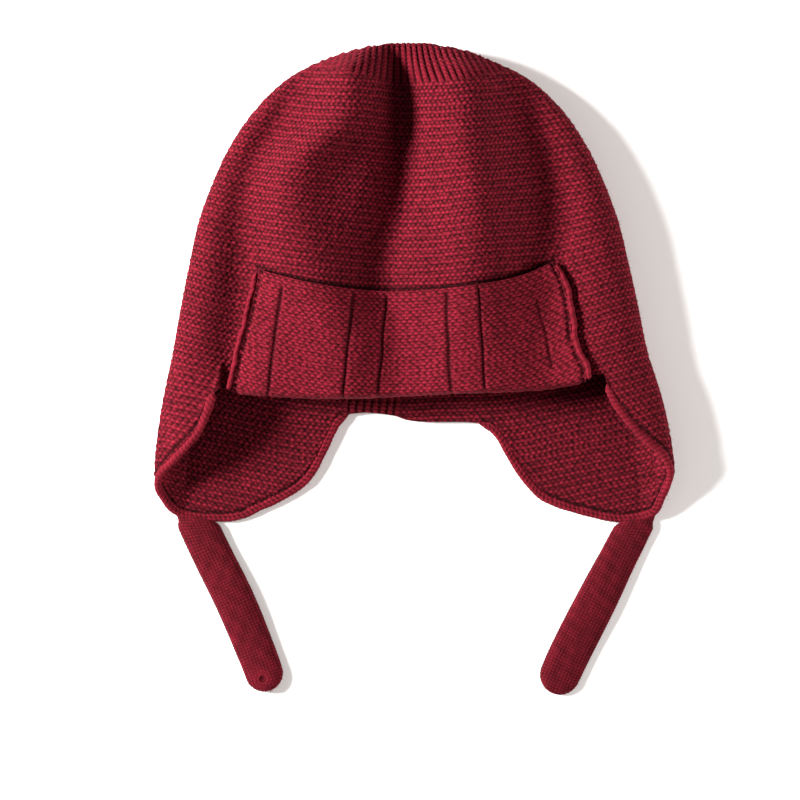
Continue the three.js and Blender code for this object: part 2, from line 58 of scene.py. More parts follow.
# Driving dimensions of the solids, repeated from the part
WALL = 3.0
CROWN_TOP_Y = 151.8
BODY_END_Y = 4.0
RIM_Z = 9.0
TOP_ROUND = 18.0
FRONT_SHOULDER = 24.0
BACK_SHOULDER = 12.0
LEFT_FLAP_SWELL = 1.3
RIGHT_FLAP_SWELL = 1.9
TURN_UP_WALL = 2.6
TURN_UP_CLEAR = 1.1
TURN_UP_LIFT = 0.8
FOLD_DEPTH = 3.5
SEAM_RADIUS = 1.15
SEAM_RAISE = 1.2
EDGING_WIDTH = 3.6
EDGING_THICK = 3.4
TIE_THICK = 5.5
TIE_FLAT = 0.8
BRIM_RIGHT = 88.3
BRIM_LEFT = -90.3
NAPE_FROM = 0.36
NAPE_TO = 0.65
# The edging is sewn over the crown's edge by the rest of its half width; the drawing back starts
# and ends within this share of an edge part
EDGE_TUCK = 0.7
TUCK_RAMP = 0.08

# Knitting: how rows lift towards the sides per mm squared, and where the ribs start
ROW_LIFT = 0.00134
FLAT_HALF_WIDTH = 115
RIBS_FROM_FRONT = 132.5
RIBS_FROM_BACK = 62
RIBS_ARC = 0.0045
RIBS_MIDDLE = 4
NAPE_RIBS_LEFT = -32
NAPE_RIBS_RIGHT = -6
NAPE_RIBS_TOP = -13.8

# Turn-up: gap to its side rolls, share of its height where the fold starts, how far the fold's
# inner edge lies below the brim, and how deep stitches, ladder lines and side seams go
SIDE_GAP = 0.2
FOLD_FROM = 0.955
HOOK_DROP = 5.2
TURN_UP_RELIEF = 0.9
LADDER_CUT = 0.7
SIDE_DIP = 1.1

# Purl stitch, in rows: how far its yarn waves and how wide it is, and how much lower every second
# row lies
PURL_WAVE = 0.16
PURL_WIDTH = 0.66
PURL_DROP = 0.14

# Edgings and side rolls: length of a stitch, how far it slants, how far the edging swells sideways
EDGING_STITCH = 2.2
EDGING_SLANT = 2.6
EDGING_SWELL = 1.12
SEAM_STITCH = 3.4

# Ties: share of the length tucked under the flap, stitch relief, and the drawn-in yarn end with the
# pitch and reach of its rings and the reach of its pit
TIE_ROOT = 0.045
TIE_RELIEF = 0.45
KNOT = (-70.2, -144.2)
KNOT_RING = 1.6
KNOT_REACH = 4.2
PIT_REACH = 1.3

# Loose fibres: shortest and longest, and half their thickness at the root and half way
FIBRE_LENGTH = (0.7, 2.2)
FIBRE_ROOT = 0.05
FIBRE_MIDDLE = 0.04


def table(columns, *rows):
    """A short table as a dictionary of named columns."""
    return dict(zip(columns.split(), np.array(rows, float).T))


def read(rows, key, column, at):
    """A column read at any key: a smooth cubic through its rows, flat past its ends."""
    keys, values = rows[key], rows[column]
    if keys[-1] < keys[0]:
        keys, values = keys[::-1], values[::-1]
    slope = np.diff(values) / np.diff(keys)
    lean = np.concatenate([slope[:1], (slope[1:] + slope[:-1]) / 2, slope[-1:]])
    low = np.clip(np.searchsorted(keys, at) - 1, 0, len(keys) - 2)
    span = keys[low + 1] - keys[low]
    t = np.clip((at - keys[low]) / span, 0, 1)
    blend = t * t * (3 - 2 * t)
    straight = values[low] + (values[low + 1] - values[low]) * blend
    return straight + span * (lean[low] * t * (1 - t) ** 2 - lean[low + 1] * t * t * (1 - t))


def unit(ways):
    """Vectors brought to length 1."""
    return ways / np.linalg.norm(ways, axis=-1, keepdims=True)


def square_to(ways, along):
    """Unit vectors square to along: the ways less their part along it."""
    return unit(ways - along * np.sum(ways * along, axis=1, keepdims=True))


def bell(at, middle, spread):
    """1 at the middle, falling to 1/e at one spread from it."""
    return np.exp(-((at - middle) / spread) ** 2)


def reach_along(points):
    """Length run from the first point of each line of points to each of its points."""
    steps = np.linalg.norm(np.diff(points, axis=0), axis=-1)
    return np.concatenate([np.zeros_like(points[:1, ..., 0]), np.cumsum(steps, axis=0)])


def with_shares(rows):
    """The table with the share of its length in plan that each row has reached."""
    steps = np.hypot(np.diff(rows["x"]), np.diff(rows["y"]))
    reached = np.concatenate([[0], np.cumsum(steps)])
    return {**rows, "share": reached / reached[-1]}


OUTLINE = table(
    "drop left right",
    (0, -4, -4), (0.5, -13.3, 8.1), (1.4, -20.2, 13.8), (3.3, -28, 23.6), (7.9, -42, 36),
    (17.2, -59.3, 54.2), (26.5, -69.5, 64.9), (35.8, -77.4, 72.8), (49.7, -86.3, 81.6),
    (63.7, -92.8, 88.1), (82.3, -99.7, 95.1), (101, -103.9, 99.7), (119.5, -107.6, 103.9),
    (138.1, -110.9, 107.6), (156.7, -114.2, 112.3),
)
OUTLINE["root"] = np.sqrt(OUTLINE["drop"])
FRONT_BASE = table("y z", (152, 18), (130, 21.5), (90, 23), (45, 22), (-15, 21))
FOLDS = {
    "centre_valley": (
        (152, -9, -6, 6), (132, -7, -10.8, 7.5), (111, -6, -11.4, 9), (92, -5, -11, 12),
        (79, -6, -11, 14), (45, -16, -8, 14), (11, -9, -5, 15), (-15, -9, -3.5, 15),
    ),
    "left_ridge": (
        (152, -27, 4, 10), (140, -29, 9, 12), (115, -33, 12, 14), (93, -53, 10, 16),
        (79, -56, 9, 18), (45, -48, 7.5, 19), (11, -35, 4.5, 18), (-15, -35, 3, 18),
    ),
    "right_ridge": (
        (152, 20, 1, 13), (130, 22, 8, 13), (100, 25, 11, 14), (79, 28, 10.5, 14),
        (50, 27, 8.5, 15), (11, 26, 4.5, 16), (-15, 28, 3.5, 18),
    ),
    "right_valley": (
        (152, 44, 0, 9), (130, 50, -6, 12), (87, 62, -9, 14), (55, 63, -8, 15),
        (11, 64, -6, 16), (-15, 66, -4, 15),
    ),
    "left_rim_valley": (
        (152, -45, 0, 7), (132, -54, -4, 9), (93, -74, -7, 11), (37, -81, -7, 13),
        (11, -84, -6, 13), (-15, -86, -4, 12),
    ),
}
FOLDS = {name: table("y x rise spread", *rows) for name, rows in FOLDS.items()}


def lying(*places):
    """An edge part of x and y that lies on the surface, half a wall up."""
    return table("x y z", *((x, y, WALL / 2) for x, y in places))


EDGES = {
    1: table(
        "x y z",
        (-92.3, -10.9, 22), (-96, -20.2, 21.5), (-101.1, -30.5, 19.5), (-104.9, -34.6, 18.5),
        (-113.2, -43.5, 15), (-119.1, -49, 11.5),
    ),
    2: table(
        "x y z",
        (-119.1, -49, 11.5), (-118.8, -55.3, 8.5), (-116, -60.2, 6), (-112.9, -64.3, 4),
        (-108, -67.6, 1.8),
    ),
    3: lying(
        (-108, -67.6), (-98, -68.8), (-82, -68.3), (-71.2, -63.7),
        (-61.7, -59.2), (-54, -54.6), (-49.3, -50.2), (-44, -41.4),
        (-39.6, -32), (-36, -24.5),
    ),
    4: lying(
        (-36, -24.5), (-31, -21.2), (-9, -21.6), (-3, -23.6),
        (32, -25.3), (37, -27),
    ),
    5: lying(
        (37, -27), (41, -32.1), (46, -41.3), (52, -50.3),
        (60.4, -59.2), (71, -63.6), (84, -67.2), (95, -69.2),
        (108, -68.4),
    ),
    6: table(
        "x y z",
        (108, -68.4, 1.8), (112.3, -66, 4), (115, -61, 6), (117.5, -55.3, 8.5), (120.3, -48, 11.5),
    ),
    7: table(
        "x y z",
        (120.3, -48, 11.5), (118.2, -43, 14), (115.5, -38.6, 16), (110, -34.2, 18),
        (104.9, -29.5, 19), (97.9, -21.6, 20), (92.8, -14.2, 20), (89.5, -6.8, 20),
    ),
}
EDGES = {part: with_shares(rows) for part, rows in EDGES.items()}
TURN_UP_TOP = table(
    "x y",
    (-73, 47), (-66, 44.5), (-39, 38.4), (-11, 36), (12, 37), (31, 39.3), (50, 43.5), (66, 50.5),
)
TURN_UP_BOTTOM = table(
    "x y", (-86, -11), (-70, -12.4), (-35, -13.7), (17, -11.4), (64, -9.1), (82, -5.8),
)
SEAMS = {
    "left": table("y x", (45, -72.8), (30, -76.2), (18, -79.2), (5, -82.6), (-9.5, -85.3)),
    "right": table(
        "y x",
        (49.6, 65.6), (43.5, 69), (35, 71.8), (26, 73.7), (16.5, 74.4), (7, 77.4), (-0.5, 80.7),
        (-4.6, 81.1),
    ),
}
TIES = {
    "left": table(
        "x y width",
        (-101.2, -71, 18.6), (-95.2, -84, 18.6), (-83.7, -107.2, 18.8), (-72.2, -135, 18.2),
        (-66.8, -149.9, 17.6),
    ),
    "right": table(
        "x y width",
        (104, -71.4, 16.6), (97.6, -84, 17.4), (85.8, -107.2, 19), (71.8, -135, 19.2),
        (64.6, -151.1, 18.4),
    ),
}


# The pieces that show loose fibres
FUZZY = ("crown_front", "turn_up", "edging", "tie")


class BeanieKnit(bpy.types.PropertyGroup):
    """Sizes of the knitting."""

    stitch_width: bpy.props.FloatProperty(
        name="Stitch width", description="Width of a garter stitch",
        default=2.6 * MM, unit="LENGTH")
    ridge_pitch: bpy.props.FloatProperty(
        name="Ridge pitch", description="From one garter ridge to the next",
        default=3.3 * MM, unit="LENGTH")
    relief: bpy.props.FloatProperty(
        name="Relief", description="Depth of the garter ridges",
        default=0.95 * MM, unit="LENGTH")
    rib_pitch: bpy.props.FloatProperty(
        name="Rib pitch", description="From rib to rib at the crown's top",
        default=3.5 * MM, unit="LENGTH")
    turn_up_stitch: bpy.props.FloatProperty(
        name="Turn-up stitch", description="Width of a turn-up stitch",
        default=3.0 * MM, unit="LENGTH")
    turn_up_row: bpy.props.FloatProperty(
        name="Turn-up row", description="From row to row on the turn-up",
        default=1.42 * MM, unit="LENGTH")
    tie_stitch: bpy.props.FloatProperty(
        name="Tie stitch", description="Width of a stitch of the ties",
        default=1.5 * MM, unit="LENGTH")
    fibres: bpy.props.IntProperty(
        name="Fibres", description="Loose wool fibres over the knitting", default=4400)


class BeanieColours(bpy.types.PropertyGroup):
    """Colours of the yarn and the studio."""

    yarn: bpy.props.StringProperty(
        name="Yarn", description="Yarn where it stands up, sRGB hex", default="#681320")
    # Painted shade: the colour the yarn is darkened to in the pits between stitches, in creases and
    # in grooves
    pit_shade: bpy.props.StringProperty(
        name="Hollows", description="Yarn down between the stitches, sRGB hex", default="#2A0408")
    bloom: bpy.props.StringProperty(
        name="Bloom", description="Sheen of the loose fibres, sRGB hex", default="#E06070")
    paper: bpy.props.StringProperty(
        name="Surface", description="Studio surface, sRGB hex", default="#F6F5F4")


def linear(code):
    """The linear colour with alpha of an sRGB hex code."""
    parts = [int(code[i:i + 2], 16) / 255 for i in (1, 3, 5)]
    return [c / 12.92 if c <= 0.04045 else ((c + 0.055) / 1.055) ** 2.4 for c in parts] + [1.0]


def outline(y):
    """Left and right of the crown's plan at y, read by the square root of the drop from its top."""
    root = np.sqrt(np.clip(CROWN_TOP_Y - y, 0, None))
    return read(OUTLINE, "root", "left", root), read(OUTLINE, "root", "right", root)


def front_height(x, y):
    """Height of the front's outer face: the base plus a bell-shaped swell across each fold."""
    z = read(FRONT_BASE, "y", "z", y)
    for rows in FOLDS.values():
        middle, spread = read(rows, "y", "x", y), read(rows, "y", "spread", y)
        z = z + read(rows, "y", "rise", y) * bell(x, middle, spread)
    return z


def station(u):
    """Side, turn and face of the places round a level section.

    u counts its eight parts: front from right to left, left fold in two halves, left flap, nape,
    right flap, right fold in two halves. Turn is 0 at a side fold and a quarter turn on the flat.
    """
    part = np.floor(u).astype(int) % 8
    share = u - np.floor(u)
    flat = QUARTER + 0 * share
    rising, falling = QUARTER * share, QUARTER * (1 - share)
    turn = np.choose(part, [flat, falling, rising, flat, flat, flat, falling, rising])
    side = np.array([0, -1, -1, 0, 0, 0, 1, 1])[part]
    face = np.array([1, 1, -1, -1, -1, -1, -1, 1])[part]
    nape = NAPE_FROM + (NAPE_TO - NAPE_FROM) * share
    across = np.choose(part, [1 - share, share, share, NAPE_FROM * share, nape,
                              NAPE_TO + (1 - NAPE_TO) * share, share, share])
    return part, share, side, face, turn, across


def inward(u, tip):
    """Unit vectors into the fabric: sideways by the turn, down the crown by the tip at its top."""
    _, _, side, face, turn, _ = station(u)
    x = -side * np.cos(turn) * np.sin(tip)
    y = -np.cos(tip) + 0 * u
    z = -face * np.sin(turn) * np.sin(tip)
    return unit(np.stack(np.broadcast_arrays(x, y, z), -1))


def body(u, y, tip):
    """Outer face on level sections: quarter ellipses at the sides, folded front, flat back."""
    _, _, side, face, turn, across = station(u)
    left, right = outline(y)
    shoulder = np.minimum(np.where(face > 0, FRONT_SHOULDER, BACK_SHOULDER), (right - left) * 0.3)
    inset = shoulder * (1 - np.cos(turn))
    flat = left + shoulder + (right - left - 2 * shoulder) * across
    x = np.where(side < 0, left + inset, np.where(side > 0, right - inset, flat))
    y = y + 0 * x
    swell = np.sin(turn) * np.sin(tip)
    front = RIM_Z + (front_height(x, y) - RIM_Z) * swell
    return np.stack([x, y, np.where(face > 0, front, RIM_Z * (1 - swell))], -1)


def edge(u):
    """The edge all the way round, at the middle of the fabric."""
    part, share, *_ = station(u)
    x = BRIM_RIGHT + (BRIM_LEFT - BRIM_RIGHT) * share
    y = read(TURN_UP_BOTTOM, "x", "y", x) + FOLD_DEPTH
    points = np.stack([x, y, front_height(x, y) - WALL / 2], -1)
    for number, rows in EDGES.items():
        here = part == number
        for axis, name in enumerate("xyz"):
            points[here, axis] = read(rows, "share", name, share[here])
    return points


def edging_room(u):
    """How far the edge is drawn back for the edging: along the ear flaps, else nothing."""
    part, share, *_ = station(u)
    start, end = share / TUCK_RAMP, (1 - share) / TUCK_RAMP
    nape = np.maximum(1 - start, start - (1 / TUCK_RAMP - 1))
    places = [part == 0, part == 1, part == 4, part == 7]
    ramp = np.select(places, [0 * share, start, nape, end], 1.0)
    return EDGE_TUCK * np.clip(ramp, 0, 1)


def crown_grid(u, v, inside):
    """The crown's face on a grid: v is 0 to 1 round the top, to 2 down the body, to 3 to the edge.

    Below the body the face is a straight line from the last level section to the edge, bowed
    outwards at the side folds. The inner face is the outer one moved in by the wall.
    """
    tip = QUARTER * np.clip(v, 0, 1)[:, None]
    top_y = CROWN_TOP_Y - TOP_ROUND * (1 - np.cos(tip))
    body_top = CROWN_TOP_Y - TOP_ROUND
    body_y = body_top + (BODY_END_Y - body_top) * np.clip(v - 1, 0, 1)[:, None]
    y = np.where(v[:, None] < 1, top_y, body_y)
    points = body(u[None, :], y, tip)
    way = inward(u[None, :], tip)
    last = body(u[None, :], np.full((1, 1), BODY_END_Y), QUARTER)[0]
    last_way = inward(u, QUARTER)
    middle = last + last_way * WALL / 2
    rim = edge(u)
    back = square_to(middle - rim, unit(np.gradient(rim, axis=0)))
    end = rim + back * edging_room(u)[:, None] - last_way * WALL / 2
    share = np.clip(v - 2, 0, 1)[:, None, None]
    _, _, side, _, turn, _ = station(u)
    bow = np.where(side < 0, LEFT_FLAP_SWELL, RIGHT_FLAP_SWELL) * np.cos(turn) ** 2
    skirt = last + (end - last) * share - last_way * (bow[:, None] * 4 * share * (1 - share))
    points = np.where(v[:, None, None] > 2, skirt, points)
    if inside:
        points = points + WALL * np.where(v[:, None, None] > 2, last_way[None], way)
    return points


def wander(x, y, size, seed):
    """A smooth wandering value of about -1 to 1: a sum of five plane waves of random direction."""
    rng = np.random.default_rng(seed)
    total = 0
    for _ in range(5):
        angle, phase = rng.uniform(0, 2 * np.pi, 2)
        pitch = size * rng.uniform(0.7, 1.6)
        total = total + np.sin((x * np.cos(angle) + y * np.sin(angle)) * 2 * np.pi / pitch + phase)
    return total / 3


def scatter(i, k):
    """A fixed random number from 0 to 1 for each pair of whole numbers."""
    return np.modf(np.abs(np.sin(i * 12.9898 + k * 78.233) * 43758.5453))[0]


def purl(a, b):
    """Loft of purl bumps, 0 in the pits to 1 on the yarn.

    Each row is a yarn running up and down like a low wave, its arches standing over a pit, and
    every second row is shifted by half a stitch. The loft is a round section across that yarn.
    """
    loft = np.zeros_like(a)
    for k in (0, 1):
        row = np.floor(b) + k
        phase = a + 0.5 * np.mod(row, 2) + 0.3 * (scatter(row, 3 * row) - 0.5)
        stitch = np.floor(phase)
        wave = np.cos(2 * np.pi * phase)
        centre = row - PURL_WAVE * wave + PURL_WAVE * (scatter(stitch, row) - 0.5)
        across = (b - centre) / PURL_WIDTH
        sagging = 0.3 * scatter(row, stitch) * (1 - wave) / 2
        height = 0.74 - 0.26 * wave - sagging - PURL_DROP * np.mod(row, 2)
        loft = np.maximum(loft, np.sqrt(np.clip(1 - across ** 2, 0, 1)) * height)
    return loft


def plain(a, b):
    """Loft of plain stitches: rounded columns of shallow Vs, with a line between columns."""
    column = np.floor(a)
    f = np.abs(a - column - 0.5) * 2
    ridge = np.sqrt(np.clip(1 - (f / 1.06) ** 2, 0, 1))
    uneven = 0.75 + 0.5 * (scatter(column, np.floor(b)) - 0.5)
    return ridge * (0.62 + 0.38 * uneven * np.cos(2 * np.pi * (b + 0.35 * f)))


def ribs(a, b):
    """Loft of single ribs: rounded ridges of plain stitches with narrow valleys."""
    f = np.abs(np.mod(a, 1) - 0.5) * 2
    ridge = np.sqrt(np.clip(1 - (f / 0.84) ** 2, 0, 1))
    return ridge * (0.7 + 0.3 * np.cos(2 * np.pi * (b + 0.5 * f)))


def normals_of(points):
    """Unit normals of a grid from its central differences; sign as the grid runs."""
    along_v = np.gradient(points, axis=0)
    along_u = np.gradient(points, axis=1)
    normal = np.cross(along_u, along_v)
    return normal / np.maximum(np.linalg.norm(normal, axis=-1, keepdims=True), 1e-9)


def grid_faces(index, flip=False):
    """Quads of a grid of vertex numbers."""
    a, b, c, d = index[:-1, :-1], index[:-1, 1:], index[1:, 1:], index[1:, :-1]
    quads = np.stack([a, b, c, d] if flip else [a, d, c, b], -1)
    return quads.reshape(-1, 4)


def zip_faces(one, two, places_one, places_two):
    """Triangles between two borders of different counts, always closing the one that is behind."""
    order = np.argsort(np.concatenate([places_one[1:], places_two[1:]]), kind="stable")
    from_one = order < len(one) - 1
    at_one = np.concatenate([[0], np.cumsum(from_one)])
    at_two = np.concatenate([[0], np.cumsum(~from_one)])
    new = np.where(from_one, one[at_one[1:]], two[at_two[1:]])
    return np.stack([one[at_one[:-1]], two[at_two[:-1]], new], -1)


def make_mesh(name, points, quads, tris, loft, ab=None, purled=None):
    """A mesh of millimetre points, with its loft, its share of purl and its stitch coordinates."""
    corners = [np.asarray(f, int).reshape(-1, n) for f, n in ((quads, 4), (tris, 3))]
    quad, tri = corners
    doubled = quad == np.roll(quad, -1, axis=1)
    thin = doubled.any(axis=1)
    kept = ~np.eye(4, dtype=bool)[doubled[thin].argmax(axis=1)]
    tri = np.concatenate([tri, quad[thin][kept].reshape(-1, 3)])
    tri = tri[(tri[:, 0] != tri[:, 1]) & (tri[:, 1] != tri[:, 2]) & (tri[:, 0] != tri[:, 2])]
    quad = quad[~thin]
    # Nothing sinks into the surface that the hat lies on
    points[:, 2] = np.maximum(points[:, 2], 0)
    mesh = bpy.data.meshes.new(name)
    mesh.vertices.add(len(points))
    mesh.vertices.foreach_set("co", (points * MM).astype(np.float32).ravel())
    loops = np.concatenate([quad.ravel(), tri.ravel()]).astype(np.int32)
    starts = np.concatenate([np.arange(len(quad)) * 4, 4 * len(quad) + np.arange(len(tri)) * 3])
    mesh.loops.add(len(loops))
    mesh.loops.foreach_set("vertex_index", loops)
    mesh.polygons.add(len(quad) + len(tri))
    mesh.polygons.foreach_set("loop_start", starts.astype(np.int32))
    mesh.update(calc_edges=True)
    for attribute, values in (("loft", loft), ("purled", purled)):
        if values is not None:
            layer = mesh.attributes.new(attribute, "FLOAT", "POINT")
            layer.data.foreach_set("value", np.asarray(values, np.float32).ravel())
    if ab is not None:
        uv = mesh.uv_layers.new(name="stitches")
        uv.data.foreach_set("uv", ab.reshape(-1, 2)[loops].astype(np.float32).ravel())
    work = bmesh.new()
    work.from_mesh(mesh)
    bmesh.ops.recalc_face_normals(work, faces=work.faces)
    work.to_mesh(mesh)
    work.free()
    mesh.polygons.foreach_set("use_smooth", np.ones(len(mesh.polygons), bool))
    mesh.set_sharp_from_angle(angle=math.radians(80))
    mesh.update()
    return mesh


def show(name, mesh, material, node):
    """Puts a mesh in the scene as a piece that stands for a CAD node."""
    piece = bpy.data.objects.new(name, mesh)
    bpy.context.scene.collection.objects.link(piece)
    mesh.materials.append(material)
    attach(piece, "root")
    if node:
        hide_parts(node)
    return piece


def add(tree, kind, settings=None, links=None):
    """One shader node with its settings, and its sockets set to values or linked from outputs."""
    node = tree.nodes.new("ShaderNode" + kind)
    for name, value in (settings or {}).items():
        setattr(node, name, value)
    for name, value in (links or {}).items():
        if isinstance(value, bpy.types.NodeSocket):
            tree.links.new(value, node.inputs[name])
        else:
            node.inputs[name].default_value = value
    return node


def maths(tree, operation, *values):
    """The output of one operation on values or other outputs."""
    node = add(tree, "Math", {"operation": operation}, dict(enumerate(values)))
    return node.outputs["Value"]


def ranged(tree, value, low, high, to_low=0.0, to_high=1.0, curve="LINEAR"):
    """The output of a value carried from one range to another, straight or by a smooth step."""
    node = add(tree, "MapRange", {"interpolation_type": curve}, {
        "Value": value, "From Min": low, "From Max": high, "To Min": to_low, "To Max": to_high})
    return node.outputs["Result"]


def painted_stitch_shade(tree, low_row_shade):
    """Painted highlight and shade of purl stitches: how much lighter a purl bump is than its
    surroundings, and the pit round it darker.

    Places the point nearest to each whole stitch of a row, every second row shifted by half a
    stitch, and shades by the distance from it. Every second row lies lower, and is painted darker
    as shade by the share that the last argument gives. Off the purl knitting the shade is 1.
    """
    stray = 0.42
    place = add(tree, "UVMap", {"uv_map": "stitches"})
    split = add(tree, "SeparateXYZ", {}, {"Vector": place.outputs["UV"]})
    odd = maths(tree, "FLOORED_MODULO", maths(tree, "ROUND", split.outputs["Y"]), 2.0)
    along = maths(tree, "MULTIPLY_ADD", odd, 0.5, split.outputs["X"])
    cell = add(tree, "CombineXYZ", {}, {"X": along, "Y": split.outputs["Y"]})
    centred = add(tree, "VectorMath", {"operation": "ADD"}, {
        0: cell.outputs["Vector"], 1: (stray / 2 - 0.5, stray / 2, 0.0)})
    bump = add(tree, "TexVoronoi", {"voronoi_dimensions": "2D"}, {
        "Vector": centred.outputs["Vector"], "Scale": 1.0, "Randomness": stray})
    # Painted highlight near each bump's middle and painted shade in the pit round it
    change = ranged(tree, bump.outputs["Distance"], 0.12, 0.68, 0.3, -0.55, "SMOOTHSTEP")
    lower = maths(tree, "MULTIPLY_ADD", odd, -low_row_shade, change)
    purled = add(tree, "Attribute", {"attribute_name": "purled"})
    return maths(tree, "MULTIPLY_ADD", lower, purled.outputs["Fac"], 1.0)


def wool(name, yarn, pit_shade, bloom, full=0.86, low_row_shade=0.0):
    """Lambswool yarn, soft spun and lightly felted.

    The eye gets matt crimson crowns of yarn, a painted shade of near-black red in the pits between
    stitches, a faint uneven dye, and a pale bloom of loose fibres where the surface turns away.
    Full is the loft at which the yarn's own colour is reached; the last argument is how much darker
    every second row is painted, as shade where that row lies lower.
    """
    made = bpy.data.materials.new(name)
    made.use_nodes = True
    tree = made.node_tree
    tree.nodes.clear()
    loft = add(tree, "Attribute", {"attribute_name": "loft"})
    place = add(tree, "TexCoord").outputs["Object"]
    # Uneven dye, a few stitches across
    dye = add(tree, "TexNoise", {}, {
        "Vector": place, "Scale": 1 / (9 * MM), "Detail": 3.0, "Roughness": 0.6})
    # Fibres lying over the stitches, drawn as coarse as the render shows
    fibre = add(tree, "TexNoise", {}, {
        "Vector": place, "Scale": 1 / (0.7 * MM), "Detail": 2.0, "Roughness": 0.75})
    # Painted shade: the colour falls from the yarn's to the pit shade's as the loft falls, in pits,
    # creases and grooves
    mixed = add(tree, "Mix", {"data_type": "RGBA"}, {
        0: ranged(tree, loft.outputs["Fac"], 0.0, full, curve="SMOOTHSTEP"),
        6: linear(pit_shade), 7: linear(yarn)})
    dyed = ranged(tree, dye.outputs["Fac"], 0.3, 0.7, 0.86, 1.12)
    fibrous = ranged(tree, fibre.outputs["Fac"], 0.3, 0.7, 0.62, 1.42)
    strength = maths(tree, "MULTIPLY", dyed, fibrous)
    toned = add(tree, "VectorMath", {"operation": "SCALE"}, {
        "Vector": mixed.outputs[2],
        "Scale": maths(tree, "MULTIPLY", strength, painted_stitch_shade(tree, low_row_shade))})
    bump = add(tree, "Bump", {}, {
        "Strength": 0.9, "Distance": 0.35 * MM, "Height": fibre.outputs["Fac"]})
    cloth = add(tree, "BsdfPrincipled", {}, {
        "Base Color": toned.outputs["Vector"], "Normal": bump.outputs["Normal"],
        "Roughness": 0.92, "IOR": 1.54, "Specular IOR Level": 0.05,
        "Sheen Weight": 0.15, "Sheen Roughness": 0.4, "Sheen Tint": linear(bloom)})
    add(tree, "OutputMaterial", {}, {"Surface": cloth.outputs["BSDF"]})
    return made


def yarn_colours():
    """The yarn's, the painted pit shade's and the bloom's colour codes."""
    colours = bpy.context.scene.beanie_colours
    return colours.yarn, colours.pit_shade, colours.bloom


def spread(counts, start, end):
    """u values from start to end with the given count of steps in each part."""
    values = []
    for part in range(math.floor(start), math.ceil(end)):
        low, high = max(part, start), min(part + 1, end)
        steps = max(int(round(counts[part % 8] * (high - low))), 1)
        values.append(np.linspace(low, high, steps, endpoint=False))
    return np.concatenate(values + [[end]])


def knit_coordinates(points, u, middle, sizes):
    """Stitch coordinates of a crown grid: a counts stitches from the middle column, b rows up.

    Rows lie level and lift towards the sides as a shallow parabola, as a flat-lying hat shows them.
    """
    step = np.diff(points, axis=1)
    length = np.sqrt(step[..., 0] ** 2 + step[..., 2] ** 2)
    run = np.concatenate([np.zeros((len(points), 1)), np.cumsum(length, axis=1)], axis=1)
    run -= run[:, [int(np.argmin(np.abs(u - middle)))]]
    x, y = points[..., 0], points[..., 1]
    lift = ROW_LIFT * np.clip(np.abs(x), 0, FLAT_HALF_WIDTH) ** 2
    width, pitch = sizes.stitch_width / MM, sizes.ridge_pitch / MM
    a = run / width + 0.25 * wander(x, y, 60, 3)
    b = 2 * (y - lift) / pitch + 0.35 * wander(x, y, 45, 4)
    return a, b


def step_up(at, sharp):
    """A smooth step from 0 to 1, half way at 0."""
    return 1 / (1 + np.exp(-np.clip(at / sharp, -60, 60)))


def rib_share(x, y, front):
    """1 where the knitting is ribbed: the top above a shallow arc, and a patch of the nape."""
    if front:
        return step_up(y - (RIBS_FROM_FRONT + RIBS_ARC * (x - RIBS_MIDDLE) ** 2), 0.5)
    top = step_up(y - (RIBS_FROM_BACK + RIBS_ARC * x ** 2), 0.5)
    across = step_up(x - NAPE_RIBS_LEFT, 0.6) * step_up(NAPE_RIBS_RIGHT - x, 0.6)
    return np.maximum(top, across * step_up(NAPE_RIBS_TOP - y, 0.4))


def crown_loft(points, u, middle, sizes, front):
    """Loft and stitch coordinates of the crown: garter ridges, and single ribs at its top."""
    a, b = knit_coordinates(points, u, middle, sizes)
    x, y = points[..., 0], points[..., 1]
    gather = 1 + 0.016 * np.clip(y - 130, 0, None)
    rib = ribs((x + 9) * gather / (sizes.rib_pitch / MM) + 0.12 * wander(x, y, 40, 9), b * 0.85)
    share = rib_share(x, y, front)
    return purl(a, b) * (1 - share) + rib * share, np.stack([a, b], -1), share


class BEANIE_OT_crown_front(bpy.types.Operator):
    """Front of the knitted crown, with its folds, side folds and ribbed top."""

    bl_idname = "beanie.crown_front"
    bl_label = "Crown front"

    def execute(self, context):
        sizes = context.scene.beanie_knit
        fine = (276, 48, 24, 100, 100, 100, 24, 48)
        coarse = (110, 44, 20, 30, 30, 30, 20, 44)
        for name, start, end, shared in (("crown_front_right", 6.45, 8.5, "end"),
                                         ("crown_front_left", 8.5, 10.55, "start")):
            make_layer(name, start, end, 8.5, sizes, True,
                       (fine, (44, 296, 60)), (coarse, (4, 10, 62)), shared)
        return {"FINISHED"}


class BEANIE_OT_crown_back(bpy.types.Operator):
    """Back of the knitted crown with both ear flaps, lying on the surface."""

    bl_idname = "beanie.crown_back"
    bl_label = "Crown back"

    def execute(self, context):
        sizes = context.scene.beanie_knit
        under = (60, 20, 18, 70, 46, 70, 18, 20)
        inner = (60, 20, 26, 136, 92, 136, 26, 20)
        make_layer("crown_back", 2.55, 6.45, 4.5, sizes, False,
                   (under, (20, 80, 44)), (inner, (6, 24, 110)))
        return {"FINISHED"}


